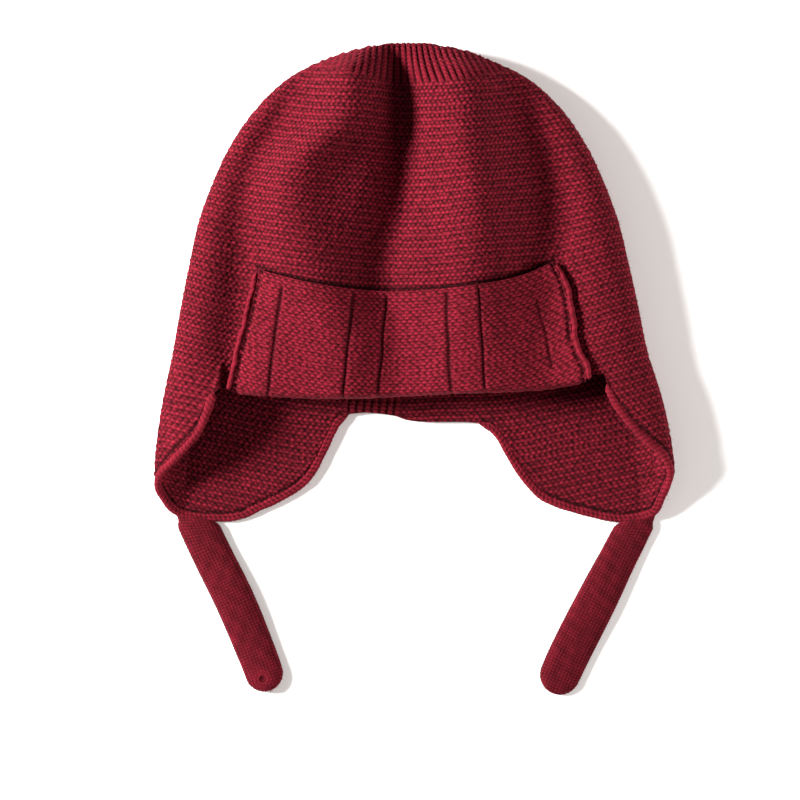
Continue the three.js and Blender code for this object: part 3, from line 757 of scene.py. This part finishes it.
def creases_with_painted_shade(points, u, under_turn_up):
    """How far the fabric is drawn in, which lowers it and, through the loft, darkens its colour as
    painted shade: a bell beside the edging's seam, one over the turn-up.
    """
    steps = np.linalg.norm(np.diff(points, axis=0), axis=-1)
    below = np.concatenate([np.cumsum(steps[::-1], axis=0)[::-1], np.zeros((1, len(u)))])
    drawn = 0.5 * bell(below, 1.7, 0.9) * (edging_room(u % 8) / EDGE_TUCK)[None, :]
    if under_turn_up:
        x, y = points[..., 0], points[..., 1]
        above = y - read(TURN_UP_TOP, "x", "y", x)
        within = (x > TURN_UP_TOP["x"][0]) & (x < TURN_UP_TOP["x"][-1])
        drawn = drawn + 0.55 * bell(above, 0.8, 1.1) * within
    return drawn


def row_steps(counts):
    """v values with the given steps round the top, down the body and down to the edge."""
    top = np.linspace(0, 1, counts[0], endpoint=False)
    down = np.linspace(1, 2, counts[1], endpoint=False)
    return np.concatenate([top, down, np.linspace(2, 3, counts[2] + 1)])


def make_layer(name, start, end, middle, sizes, front, outer_steps, inner_steps, shared=None):
    """One layer of the crown as a closed wall: outer and inner face, joined along all borders."""
    relief = sizes.relief / MM
    points, lofts, purled, coordinates, indices, places = [], [], [], [], [], []
    count = 0
    for inside, (across, down) in ((False, outer_steps), (True, inner_steps)):
        u = spread(across, start, end)
        v = row_steps(down)
        flat = crown_grid(u % 8, v, inside)
        loft, ab, ribbed = crown_loft(flat, u, middle, sizes, front)
        # Creases lower the fabric and darken it as painted shade along the edging's seam and the
        # turn-up's upper edge
        loft -= creases_with_painted_shade(flat, u, front and not inside)
        normal = normals_of(flat)
        outward = -inward(u[None, :] % 8, QUARTER * np.clip(v, 0, 1)[:, None])
        facing = np.where(np.sum(normal * outward, -1) < 0, -1, 1)[..., None]
        normal *= -facing if inside else facing
        far = np.full(len(u), len(u))
        from_start = far if shared == "start" else np.arange(len(u))
        from_end = far if shared == "end" else np.arange(len(u))[::-1]
        from_side = np.minimum(from_start, from_end)[None, :]
        from_top = np.arange(len(v))[:, None]
        fade = np.clip(from_side / 2, 0, 1) * np.clip(from_top / 3, 0, 1)
        turn = station(u % 8)[4]
        under = not front and not inside
        # The hat's weight presses the stitches flat where they lie on the surface
        pressed = 1 - 0.85 * np.sin(turn) ** 2 if under else 1
        sunk = 1.0 if under else 0.55
        height = relief * pressed * (loft - sunk) * (1 + 0.5 * ribbed)
        shaped = flat + normal * (height * fade)[..., None]
        shaped[0] = flat[0].mean(axis=0)
        index = count + np.arange(shaped.shape[0] * shaped.shape[1]).reshape(shaped.shape[:2])
        count += index.size
        index[0] = index[0, 0]
        points.append(shaped.reshape(-1, 3))
        lofts.append(loft.ravel())
        purled.append(1 - ribbed.ravel())
        coordinates.append(ab.reshape(-1, 2))
        indices.append(index)
        places.append((u, v))
    outer, inner = indices
    (outer_u, outer_v), (inner_u, inner_v) = places
    quads = np.concatenate([grid_faces(outer), grid_faces(inner, True)])
    borders = (
        (outer[:, 0], inner[:, 0], outer_v, inner_v),
        (inner[:, -1], outer[:, -1], inner_v, outer_v),
        (outer[-1], inner[-1], outer_u, inner_u),
    )
    tris = np.concatenate([zip_faces(*border) for border in borders])
    points, lofts, purled, coordinates = map(np.concatenate, (points, lofts, purled, coordinates))
    mesh = make_mesh(name, points, quads, tris, lofts, coordinates, purled)
    # The back reaches the yarn's colour only at full loft, so more of it takes the pit's painted
    # shade and it reads darker, as the recessed flaps do in shade
    full = 0.86 if front else 1.0
    show(name, mesh, wool("lambswool_garter", *yarn_colours(), full, 0.24), "crown")


def turn_up_plan(across, down):
    """Plan of the turn-up: between its seam rolls across, between its upper and lower edge down."""
    x = np.zeros(np.broadcast(across, down).shape)
    y = x
    for _ in range(5):
        top = read(TURN_UP_TOP, "x", "y", x)
        y = top + (read(TURN_UP_BOTTOM, "x", "y", x) - top) * down
        left = read(SEAMS["left"], "y", "x", y) + SEAM_RADIUS + SIDE_GAP
        right = read(SEAMS["right"], "y", "x", y) - SEAM_RADIUS - SIDE_GAP
        x = left + (right - left) * across
    return x, y


LADDERS = table(
    "top_x top_y low_x low_y depth",
    (-60.7, 38.4, -67.7, -11.9, 1.0), (-27.7, 35.1, -32.8, -13.3, 1.0),
    (-12.3, 34.2, -16.5, -12.8, 1.0), (15.1, 36, 17, -10.5, 1.0),
    (29.5, 38.4, 33.2, -9.5, 1.0), (57, 32.3, 64.9, 0, 0.6),
)


def ladder_depth(x, y):
    """How deep the ladder lines cut, 0 to 1: a bell across each straight line down the turn-up."""
    depth = np.zeros_like(x)
    for top_x, top_y, low_x, low_y, deep in zip(*LADDERS.values()):
        along = (y - top_y) / (low_y - top_y)
        centre = top_x + (low_x - top_x) * along + 0.4 * wander(x, y, 16, 21)
        ends = np.clip((along + 0.04) * 12, 0, 1) * np.clip((1.04 - along) * 12, 0, 1)
        depth = np.maximum(depth, deep * ends * bell(x, centre, 0.85))
    return depth


class BEANIE_OT_turn_up(bpy.types.Operator):
    """Turned-up front: a finer knit sheet with ladder lines, folded under at the brim."""

    bl_idname = "beanie.turn_up"
    bl_label = "Turn-up"

    def execute(self, context):
        sizes = context.scene.beanie_knit
        columns, rows, fold_rows, under_rows = 300, 124, 14, 12
        across = np.linspace(0, 1, columns)[None, :]
        down = np.linspace(0, FOLD_FROM, rows)
        x, y, floor = self.lie(across, down[:, None])
        face = np.stack([x, y, floor + TURN_UP_WALL], -1)
        end_x, end_y = x[-1], y[-1]
        low_y = turn_up_plan(across, np.ones((1, 1)))[1][0]
        top_z = face[-1, :, 2]
        low_z = front_height(end_x, end_y) - WALL - HOOK_DROP
        turn = np.linspace(0, math.pi, fold_rows + 2)[1:-1, None]
        fold = np.stack(np.broadcast_arrays(
            end_x, end_y - (end_y - low_y) * np.sin(turn),
            (top_z + low_z) / 2 + (top_z - low_z) / 2 * np.cos(turn)), -1)
        under = np.stack(self.lie(across, np.linspace(FOLD_FROM, 0, under_rows)[:, None]), -1)
        hook = np.stack([end_x, end_y, low_z], -1)[None]
        smooth = np.concatenate([face, fold, hook, under])
        normal = normals_of(smooth)
        normal *= np.where(normal[rows // 2, columns // 2, 2] < 0, -1, 1)
        x, y = smooth[..., 0], smooth[..., 1]
        a = x / (sizes.turn_up_stitch / MM) + 0.15 * wander(x, y, 30, 5)
        b = -reach_along(smooth) / (sizes.turn_up_row / MM) + 0.15 * wander(x, y, 26, 6)
        loft = purl(a, b)
        groove = ladder_depth(x, y)
        sides = np.minimum(np.arange(columns), np.arange(columns)[::-1])[None, :] * 0.55
        dip = bell(sides, 1.2, 1.1)
        shown = (np.arange(len(smooth)) < rows + 8)[:, None]
        bars = 0.3 * (0.5 + 0.5 * np.cos(2 * np.pi * b))
        loft = loft * (1 - groove) + bars * groove
        height = TURN_UP_RELIEF * (loft - 0.5) - LADDER_CUT * groove - SIDE_DIP * dip
        shaped = smooth + normal * (height * shown)[..., None]
        ring = np.arange(shaped.shape[0] * shaped.shape[1]).reshape(shaped.shape[:2])
        wrapped = np.concatenate([ring, ring[:1]])
        # Each side is closed by strips from the face and the fold to the underside and the hook
        faced = np.concatenate([down, np.linspace(0.96, 0.99, fold_rows)])
        lined = np.append(np.linspace(0, FOLD_FROM, under_rows), 1)
        upper, lower = ring[:rows + fold_rows], ring[:rows + fold_rows - 1:-1]
        caps = [zip_faces(upper[:, column], lower[:, column], faced, lined)
                for column in (0, columns - 1)]
        points = shaped.reshape(-1, 3)
        # Painted shade: the tone is darker in the ladder lines and in the dips beside the seam
        # rolls
        tone = (loft * (1 - 0.3 * groove) - 0.3 * dip).ravel()
        ab = np.stack([a, b], -1)
        purled = (1 - groove).ravel()
        tris = np.concatenate(caps)
        mesh = make_mesh("turn_up_sheet", points, grid_faces(wrapped), tris, tone, ab, purled)
        material = wool("lambswool_turn_up", *yarn_colours(), 0.8)
        show("turn_up_sheet", mesh, material, "turn_up")
        return {"FINISHED"}

    def lie(self, across, down):
        """Plan and height of the underside: just above the crown, more towards its upper edge."""
        x, y = turn_up_plan(across, down)
        return x, y, front_height(x, y) + (TURN_UP_CLEAR + TURN_UP_LIFT * (1 - down) ** 2)


def tube_faces(rows, sides):
    """Quads of a tube of closed rings, and triangles from its end rings to two further vertices."""
    index = np.arange(rows * sides).reshape(rows, sides)
    index = np.concatenate([index, index[:, :1]], axis=1)
    caps = [np.stack([index[row, :-1], index[row, 1:], np.full(sides, rows * sides + n)], -1)
            for n, row in ((0, 0), (1, -1))]
    return grid_faces(index), np.concatenate(caps)


def turns(sides):
    """Angles round a section, as one row."""
    return np.linspace(0, 2 * np.pi, sides, endpoint=False)[None, :]


def make_roll(name, node, centre, across, up, height, tone, material):
    """A roll: an ellipse carried along a line, rounded at both ends, raised by a height map."""
    sides = height.shape[1]
    turn = turns(sides)[..., None]
    steps = np.arange(len(centre))
    near = np.minimum(steps, steps[::-1])
    round_off = np.sin(np.clip((near + 0.5) / 7, 0, 1) * QUARTER)[:, None, None]
    push = 1 + height[..., None] / np.linalg.norm(across, axis=-1)[:, None, None]
    points = centre[:, None] + round_off * push * (
        across[:, None] * np.cos(turn) + up[:, None] * np.sin(turn))
    loft = np.concatenate([tone.ravel(), [0.5, 0.5]])
    points = np.concatenate([points.reshape(-1, 3), centre[[0]], centre[[-1]]])
    mesh = make_mesh(name, points, *tube_faces(len(centre), sides), loft)
    show(name, mesh, material, node)


class BEANIE_OT_seams(bpy.types.Operator):
    """The raised seam rolls down the turn-up's sides, with a slanting stitch along each."""

    bl_idname = "beanie.seams"
    bl_label = "Seam rolls"

    def execute(self, context):
        material = wool("lambswool_seam", *yarn_colours())
        for side, rows in SEAMS.items():
            y = np.linspace(rows["y"][0], rows["y"][-1], 200)
            x = read(rows, "y", "x", y) + 0.4 * wander(y, 0 * y, 11, 31)
            z = front_height(x, y) + SEAM_RADIUS + SEAM_RAISE + 0.2 * wander(y, 0 * y, 11, 32)
            centre = np.stack([x, y, z], -1)
            across = np.zeros_like(centre)
            across[:, 0] = SEAM_RADIUS + 0.15 + 0.18 * wander(y, 0 * y, 7, 34)
            up = np.zeros_like(centre)
            up[:, 2] = SEAM_RADIUS + 0.55
            turn = turns(20)
            slip = wander(y, 0 * y, 15, 35)[:, None]
            wave = 0.5 + 0.5 * np.cos(2 * np.pi * y[:, None] / SEAM_STITCH + turn + 2.2 * slip)
            # The tone is darker between the stitches, as painted shade
            make_roll(f"seam_roll_{side}", f"turn_up_seam_{side}", centre, across, up,
                      0.13 * (wave - 0.5), 0.5 + 0.36 * wave, material)
        return {"FINISHED"}


class BEANIE_OT_edgings(bpy.types.Operator):
    """The rolled edging of each ear flap: two strands bound over by slanting stitches."""

    bl_idname = "beanie.edgings"
    bl_label = "Edgings"

    def execute(self, context):
        material = wool("lambswool_edging", *yarn_colours())
        # Edge part, from and to what share of it, and in how many steps
        runs = {
            "left": ((1, 0, 0.97, 100), (2, 0.05, 0.95, 44), (3, 0.03, 1, 190), (4, 0.02, 0.09, 8)),
            "right": ((4, 0.91, 0.98, 8), (5, 0, 0.97, 190), (6, 0.05, 0.95, 44),
                      (7, 0.03, 1, 100)),
        }
        for side, parts in runs.items():
            u = np.concatenate([part + np.linspace(low, min(high, 0.9999), count)
                                for part, low, high, count in parts])
            rim = edge(u)
            for _ in range(12):
                rim[1:-1] = (rim[:-2] + 2 * rim[1:-1] + rim[2:]) / 4
            along = unit(np.gradient(rim, axis=0))
            up = square_to(inward(u, QUARTER), along)
            centre = rim + up * (EDGING_THICK - WALL) / 2
            reach = reach_along(rim)[:, None]
            turn = turns(28)
            slant = EDGING_SLANT * np.cos(turn)
            wave = 0.5 + 0.5 * np.cos(2 * np.pi * reach / EDGING_STITCH + slant)
            groove = bell(np.cos(turn), 0.05, 0.2) * (np.sin(turn) > 0)
            uneven = wander(reach, 6 * turn, 13, 33)
            height = 0.17 * (wave - 0.5) - 0.4 * groove + 0.16 * uneven
            # Painted shade: the tone is darker between the stitches' crowns and in the groove; the
            # uneven part is a random tone
            tone = 0.34 + 0.55 * wave - 0.4 * groove + 0.1 * uneven
            across = np.cross(up, along) * EDGING_WIDTH / 2 * EDGING_SWELL
            make_roll(f"edging_roll_{side}", f"edging_{side}", centre, across,
                      up * EDGING_THICK / 2, height, tone, material)
        return {"FINISHED"}


class BEANIE_OT_ties(bpy.types.Operator):
    """The two flat knitted tubes sewn to the ear flaps, fine plain stitches running along them."""

    bl_idname = "beanie.ties"
    bl_label = "Ties"

    def execute(self, context):
        sizes = context.scene.beanie_knit
        material = wool("lambswool_tie", *yarn_colours(), 0.97)
        for side, rows in TIES.items():
            self.make_tie(side, with_shares(rows), sizes.tie_stitch / MM, material)
        return {"FINISHED"}

    def make_tie(self, side, rows, stitch, material):
        """Flattened tube: a squarish oval along the middle line, its root level, its tip round."""
        length = math.hypot(rows["x"][-1] - rows["x"][0], rows["y"][-1] - rows["y"][0])
        tip_start = 1 - rows["width"][-1] / 2 / length
        straight = np.linspace(0, tip_start, 190, endpoint=False)
        angle = np.linspace(0, QUARTER, 40, endpoint=False)
        root = np.linspace(-TIE_ROOT, 0, 8, endpoint=False)
        share = np.concatenate([root, straight, tip_start + (1 - tip_start) * np.sin(angle)])
        narrow = np.concatenate([np.ones(len(root) + len(straight)), np.cos(angle)])
        here = np.stack([read(rows, "share", c, share) for c in "xy"], -1)
        slant = np.array([rows["x"][1] - rows["x"][0], rows["y"][1] - rows["y"][0]])
        here += np.clip(share, None, 0)[:, None] * length * slant / np.linalg.norm(slant)
        step = 0.01
        bounded = np.clip(share, 0, 1)
        ahead = np.stack([read(rows, "share", c, bounded + step) for c in "xy"], -1)
        behind = np.stack([read(rows, "share", c, bounded - step) for c in "xy"], -1)
        along = unit(ahead - behind)
        square = np.stack([-along[:, 1], along[:, 0]], -1)
        level = np.clip(1 - share * 6, 0, 1)[:, None]
        flat = np.stack([1 / np.abs(along[:, 1]), 0 * share], -1)
        square = square * (1 - level) + flat * level
        half = read(rows, "share", "width", share) / 2 * narrow
        uneven = 1 + 0.09 * wander(share * length, 0 * share, 38, 43)
        thick = TIE_THICK * (0.35 + 0.65 * np.sqrt(narrow)) * uneven
        tuck = np.clip(-share / TIE_ROOT, 0, 1)
        thick *= 1 - 0.6 * tuck
        half *= 1 - 0.16 * np.clip(1 - share * 25, 0, 1) ** 2 - 0.06 * tuck
        sides = 120
        place = np.linspace(1, -1, sides // 2, endpoint=False)
        reached = 0.6 * place + 0.4 * np.sin(QUARTER * place)
        half_turn = np.arccos(np.sign(reached) * np.abs(reached) ** 1.25)
        turn = np.concatenate([half_turn, half_turn + math.pi])[None, :]
        wide = np.sign(np.cos(turn)) * np.abs(np.cos(turn)) ** 0.8
        high = np.where(np.sin(turn) > 0, TIE_FLAT, 1 - TIE_FLAT) * np.sin(turn)
        x = here[:, [0]] + square[:, [0]] * half[:, None] * wide
        y = here[:, [1]] + square[:, [1]] * half[:, None] * wide
        lean = {"left": 0.06, "right": 0.2}[side]
        z = thick[:, None] * (1 - TIE_FLAT + high * (1 - lean * (1 + wide)))
        smooth = np.stack([x, y, z], -1)
        wrapped = np.concatenate([smooth[:, -2:], smooth, smooth[:, :2]], axis=1)
        normal = normals_of(wrapped)[:, 2:-2]
        normal *= np.where(normal[60, sides // 4, 2] < 0, -1, 1)
        across = half[:, None] * wide / stitch
        down = share[:, None] * length / (stitch * 0.92) + 0 * across
        loft = plain(across + 0.1 * wander(x, y, 20, 41), down + 0.12 * wander(x, y, 16, 42))
        top = np.sin(turn) > -0.2
        height = TIE_RELIEF * (loft - 0.6) * top
        # The tone follows the loft, darker between stitches as painted shade, with a small random
        # tone
        tone = 0.8 * loft + 0.08 * wander(x, y, 5, 44)
        if side == "left":
            # The end of the yarn is drawn in: a pit with rings round it, the pit painted darker and
            # the rings' crowns lighter as painted shade
            away = np.hypot(x - KNOT[0], y - KNOT[1])
            rings = 0.5 + 0.5 * np.cos(2 * np.pi * away / KNOT_RING - 2.4)
            near = bell(away, 0, KNOT_REACH) * (z > 1.5)
            pit = bell(away, 0, PIT_REACH)
            height = height * (1 - near) + near * 0.25 * (rings - 0.5) - 1.1 * pit * top
            tone = tone * (1 - near) + near * (0.4 + 0.5 * rings) - 0.6 * pit
        shaped = smooth + normal * height[..., None]
        tip = [rows["x"][-1], rows["y"][-1], TIE_THICK * 0.35 * (1 - TIE_FLAT)]
        points = np.concatenate([shaped.reshape(-1, 3), [shaped[0].mean(axis=0)], [tip]])
        tone = np.concatenate([tone.ravel(), [0.5, 0.5]])
        mesh = make_mesh(f"tie_tube_{side}", points, *tube_faces(len(shaped), sides), tone)
        show(f"tie_tube_{side}", mesh, material, f"tie_{side}")


class BEANIE_OT_fuzz(bpy.types.Operator):
    """Loose wool fibres that stand off the knitting, seen as a haze along its edges."""

    bl_idname = "beanie.fuzz"
    bl_label = "Wool fuzz"

    def execute(self, context):
        rng = np.random.default_rng(7)
        grown_on = [o for o in context.scene.objects
                    if o.type == "MESH" and o.name.startswith(FUZZY)]
        if not grown_on:
            raise RuntimeError("The knitted pieces have to be there before their fuzz")
        roots, normals = [], []
        for piece in grown_on:
            count = len(piece.data.vertices)
            co, normal = np.empty(count * 3, np.float32), np.empty(count * 3, np.float32)
            piece.data.vertices.foreach_get("co", co)
            piece.data.vertices.foreach_get("normal", normal)
            roots.append(co.reshape(-1, 3) / MM)
            normals.append(normal.reshape(-1, 3))
        roots, normals = np.concatenate(roots), np.concatenate(normals)
        shown = np.flatnonzero((normals[:, 2] > -0.35) & (roots[:, 2] > 2))
        picked = rng.choice(shown, context.scene.beanie_knit.fibres, replace=False)
        self.make_fibres(roots[picked], normals[picked], rng)
        return {"FINISHED"}

    def make_fibres(self, root, normal, rng):
        """Three-sided tapering hairs: a root ring, a bent middle ring and a point."""
        count = len(root)
        stray = rng.normal(size=(2, count, 3))
        way = unit(0.55 * normal + 0.5 * unit(stray[0]))
        length = rng.uniform(*FIBRE_LENGTH, (count, 1))
        bend = 0.25 * length * stray[1] / np.linalg.norm(stray[1], axis=1, keepdims=True)
        side = unit(np.cross(way, [0.3, 0.5, 0.8]))
        other = np.cross(way, side)
        angle = np.arange(3) * 2 * np.pi / 3
        ring = side[:, None] * np.cos(angle)[:, None] + other[:, None] * np.sin(angle)[:, None]
        low = (root - 0.2 * normal)[:, None] + FIBRE_ROOT * ring
        middle = (root + 0.55 * length * way + 0.3 * bend)[:, None] + FIBRE_MIDDLE * ring
        tip = (root + length * way + bend)[:, None]
        tip[..., 2] = np.maximum(tip[..., 2], 0.3)
        points = np.concatenate([low, middle, tip], axis=1)
        first = np.arange(count)[:, None, None] * 7
        walls = first + np.array([(0, 1, 4, 3), (1, 2, 5, 4), (2, 0, 3, 5)])
        ends = first + np.array([(3, 4, 6), (4, 5, 6), (5, 3, 6), (0, 2, 1)])
        mesh = make_mesh("wool_fuzz", points.reshape(-1, 3), walls.reshape(-1, 4),
                         ends.reshape(-1, 3), np.ones(count * 7))
        yarn, _, bloom = yarn_colours()
        show("wool_fuzz", mesh, wool("loose_fibre", yarn, yarn, bloom), None)


# The photograph's frame: 800 pixels of 0.465 mm, its middle set off a little from the origin
FRAME_WIDTH = 372.0
FRAME_MIDDLE = (-6.28, -14.18)
LENS = 200.0
SENSOR = 36.0


class BEANIE_OT_stage(bpy.types.Operator):
    """Pale surface, soft light from the left, and a camera straight above."""

    bl_idname = "beanie.stage"
    bl_label = "Stage"

    def execute(self, context):
        scene = context.scene
        distance = FRAME_WIDTH * MM * LENS / SENSOR
        camera_data = bpy.data.cameras.new("camera")
        camera_data.lens = LENS
        camera_data.sensor_width = SENSOR
        camera_data.clip_end = 20
        camera = bpy.data.objects.new("camera", camera_data)
        camera.location = (FRAME_MIDDLE[0] * MM, FRAME_MIDDLE[1] * MM, distance + 10 * MM)
        scene.collection.objects.link(camera)
        scene.camera = camera
        self.make_floor(scene)
        self.make_lights(scene)
        scene.view_settings.view_transform = "Standard"
        scene.view_settings.look = "None"
        return {"FINISHED"}

    def make_floor(self, scene):
        """A flat square, a hair below the hat so that the two never share a face."""
        half, below = 3.0, -0.15 * MM
        mesh = bpy.data.meshes.new("floor")
        corners = [(x * half, y * half, below) for x, y in ((-1, -1), (1, -1), (1, 1), (-1, 1))]
        mesh.from_pydata(corners, [], [(0, 1, 2, 3)])
        made = bpy.data.materials.new("matt_paper")
        made.use_nodes = True
        shader = made.node_tree.nodes["Principled BSDF"]
        shader.inputs["Base Color"].default_value = linear(scene.beanie_colours.paper)
        shader.inputs["Roughness"].default_value = 0.95
        shader.inputs["Specular IOR Level"].default_value = 0.1
        mesh.materials.append(made)
        floor = bpy.data.objects.new("floor", mesh)
        scene.collection.objects.link(floor)

    def make_light(self, scene, name, size, watts, colour, place):
        """A soft light at a place, turned towards the middle of the surface."""
        light = bpy.data.lights.new(name, "AREA")
        light.size = size
        light.energy = watts
        light.color = colour
        lamp = bpy.data.objects.new(name, light)
        lamp.location = place
        lamp.rotation_euler = Vector(place).to_track_quat("Z", "Y").to_euler()
        scene.collection.objects.link(lamp)
        return light

    def make_lights(self, scene):
        """A soft box low on the left, a pale board on the right and an even pale sky."""
        azimuth, elevation, away = math.radians(170), math.radians(27), 2.4
        level = math.cos(elevation)
        way = Vector((math.cos(azimuth) * level, math.sin(azimuth) * level, math.sin(elevation)))
        key = self.make_light(scene, "key", 0.62, 242, (1.0, 0.995, 0.99), way * away)
        key.shape = "DISK"
        self.make_light(scene, "bounce", 1.4, 64, (1.0, 0.96, 0.94), (1.9, -0.3, 0.55))
        world = bpy.data.worlds.new("studio")
        world.use_nodes = True
        sky = world.node_tree.nodes["Background"]
        sky.inputs["Color"].default_value = (1.0, 0.95, 0.93, 1.0)
        sky.inputs["Strength"].default_value = 0.31
        scene.world = world


OPERATORS = (
    BEANIE_OT_stage, BEANIE_OT_crown_front, BEANIE_OT_crown_back, BEANIE_OT_turn_up,
    BEANIE_OT_seams, BEANIE_OT_edgings, BEANIE_OT_ties, BEANIE_OT_fuzz,
)


class BEANIE_PT_panel(bpy.types.Panel):
    """Sizes, colours and pieces of the beanie."""

    bl_idname = "BEANIE_PT_panel"
    bl_label = "Earflap Beanie"
    bl_space_type = "VIEW_3D"
    bl_region_type = "UI"
    bl_category = "Beanie"

    def draw(self, context):
        scene = context.scene
        for group in (scene.beanie_knit, scene.beanie_colours):
            for name in group.__annotations__:
                self.layout.prop(group, name)
        for operator in OPERATORS:
            self.layout.operator(operator.bl_idname)


CLASSES = (BeanieKnit, BeanieColours, *OPERATORS, BEANIE_PT_panel)


def register():
    for cls in CLASSES:
        bpy.utils.register_class(cls)
    bpy.types.Scene.beanie_knit = bpy.props.PointerProperty(type=BeanieKnit)
    bpy.types.Scene.beanie_colours = bpy.props.PointerProperty(type=BeanieColours)


def unregister():
    del bpy.types.Scene.beanie_colours
    del bpy.types.Scene.beanie_knit
    for cls in reversed(CLASSES):
        bpy.utils.unregister_class(cls)


def main():
    """Registers the add-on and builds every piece."""
    register()
    for operator in OPERATORS:
        group, action = operator.bl_idname.split(".")
        getattr(getattr(bpy.ops, group), action)()


if __name__ == "__main__":
    main()
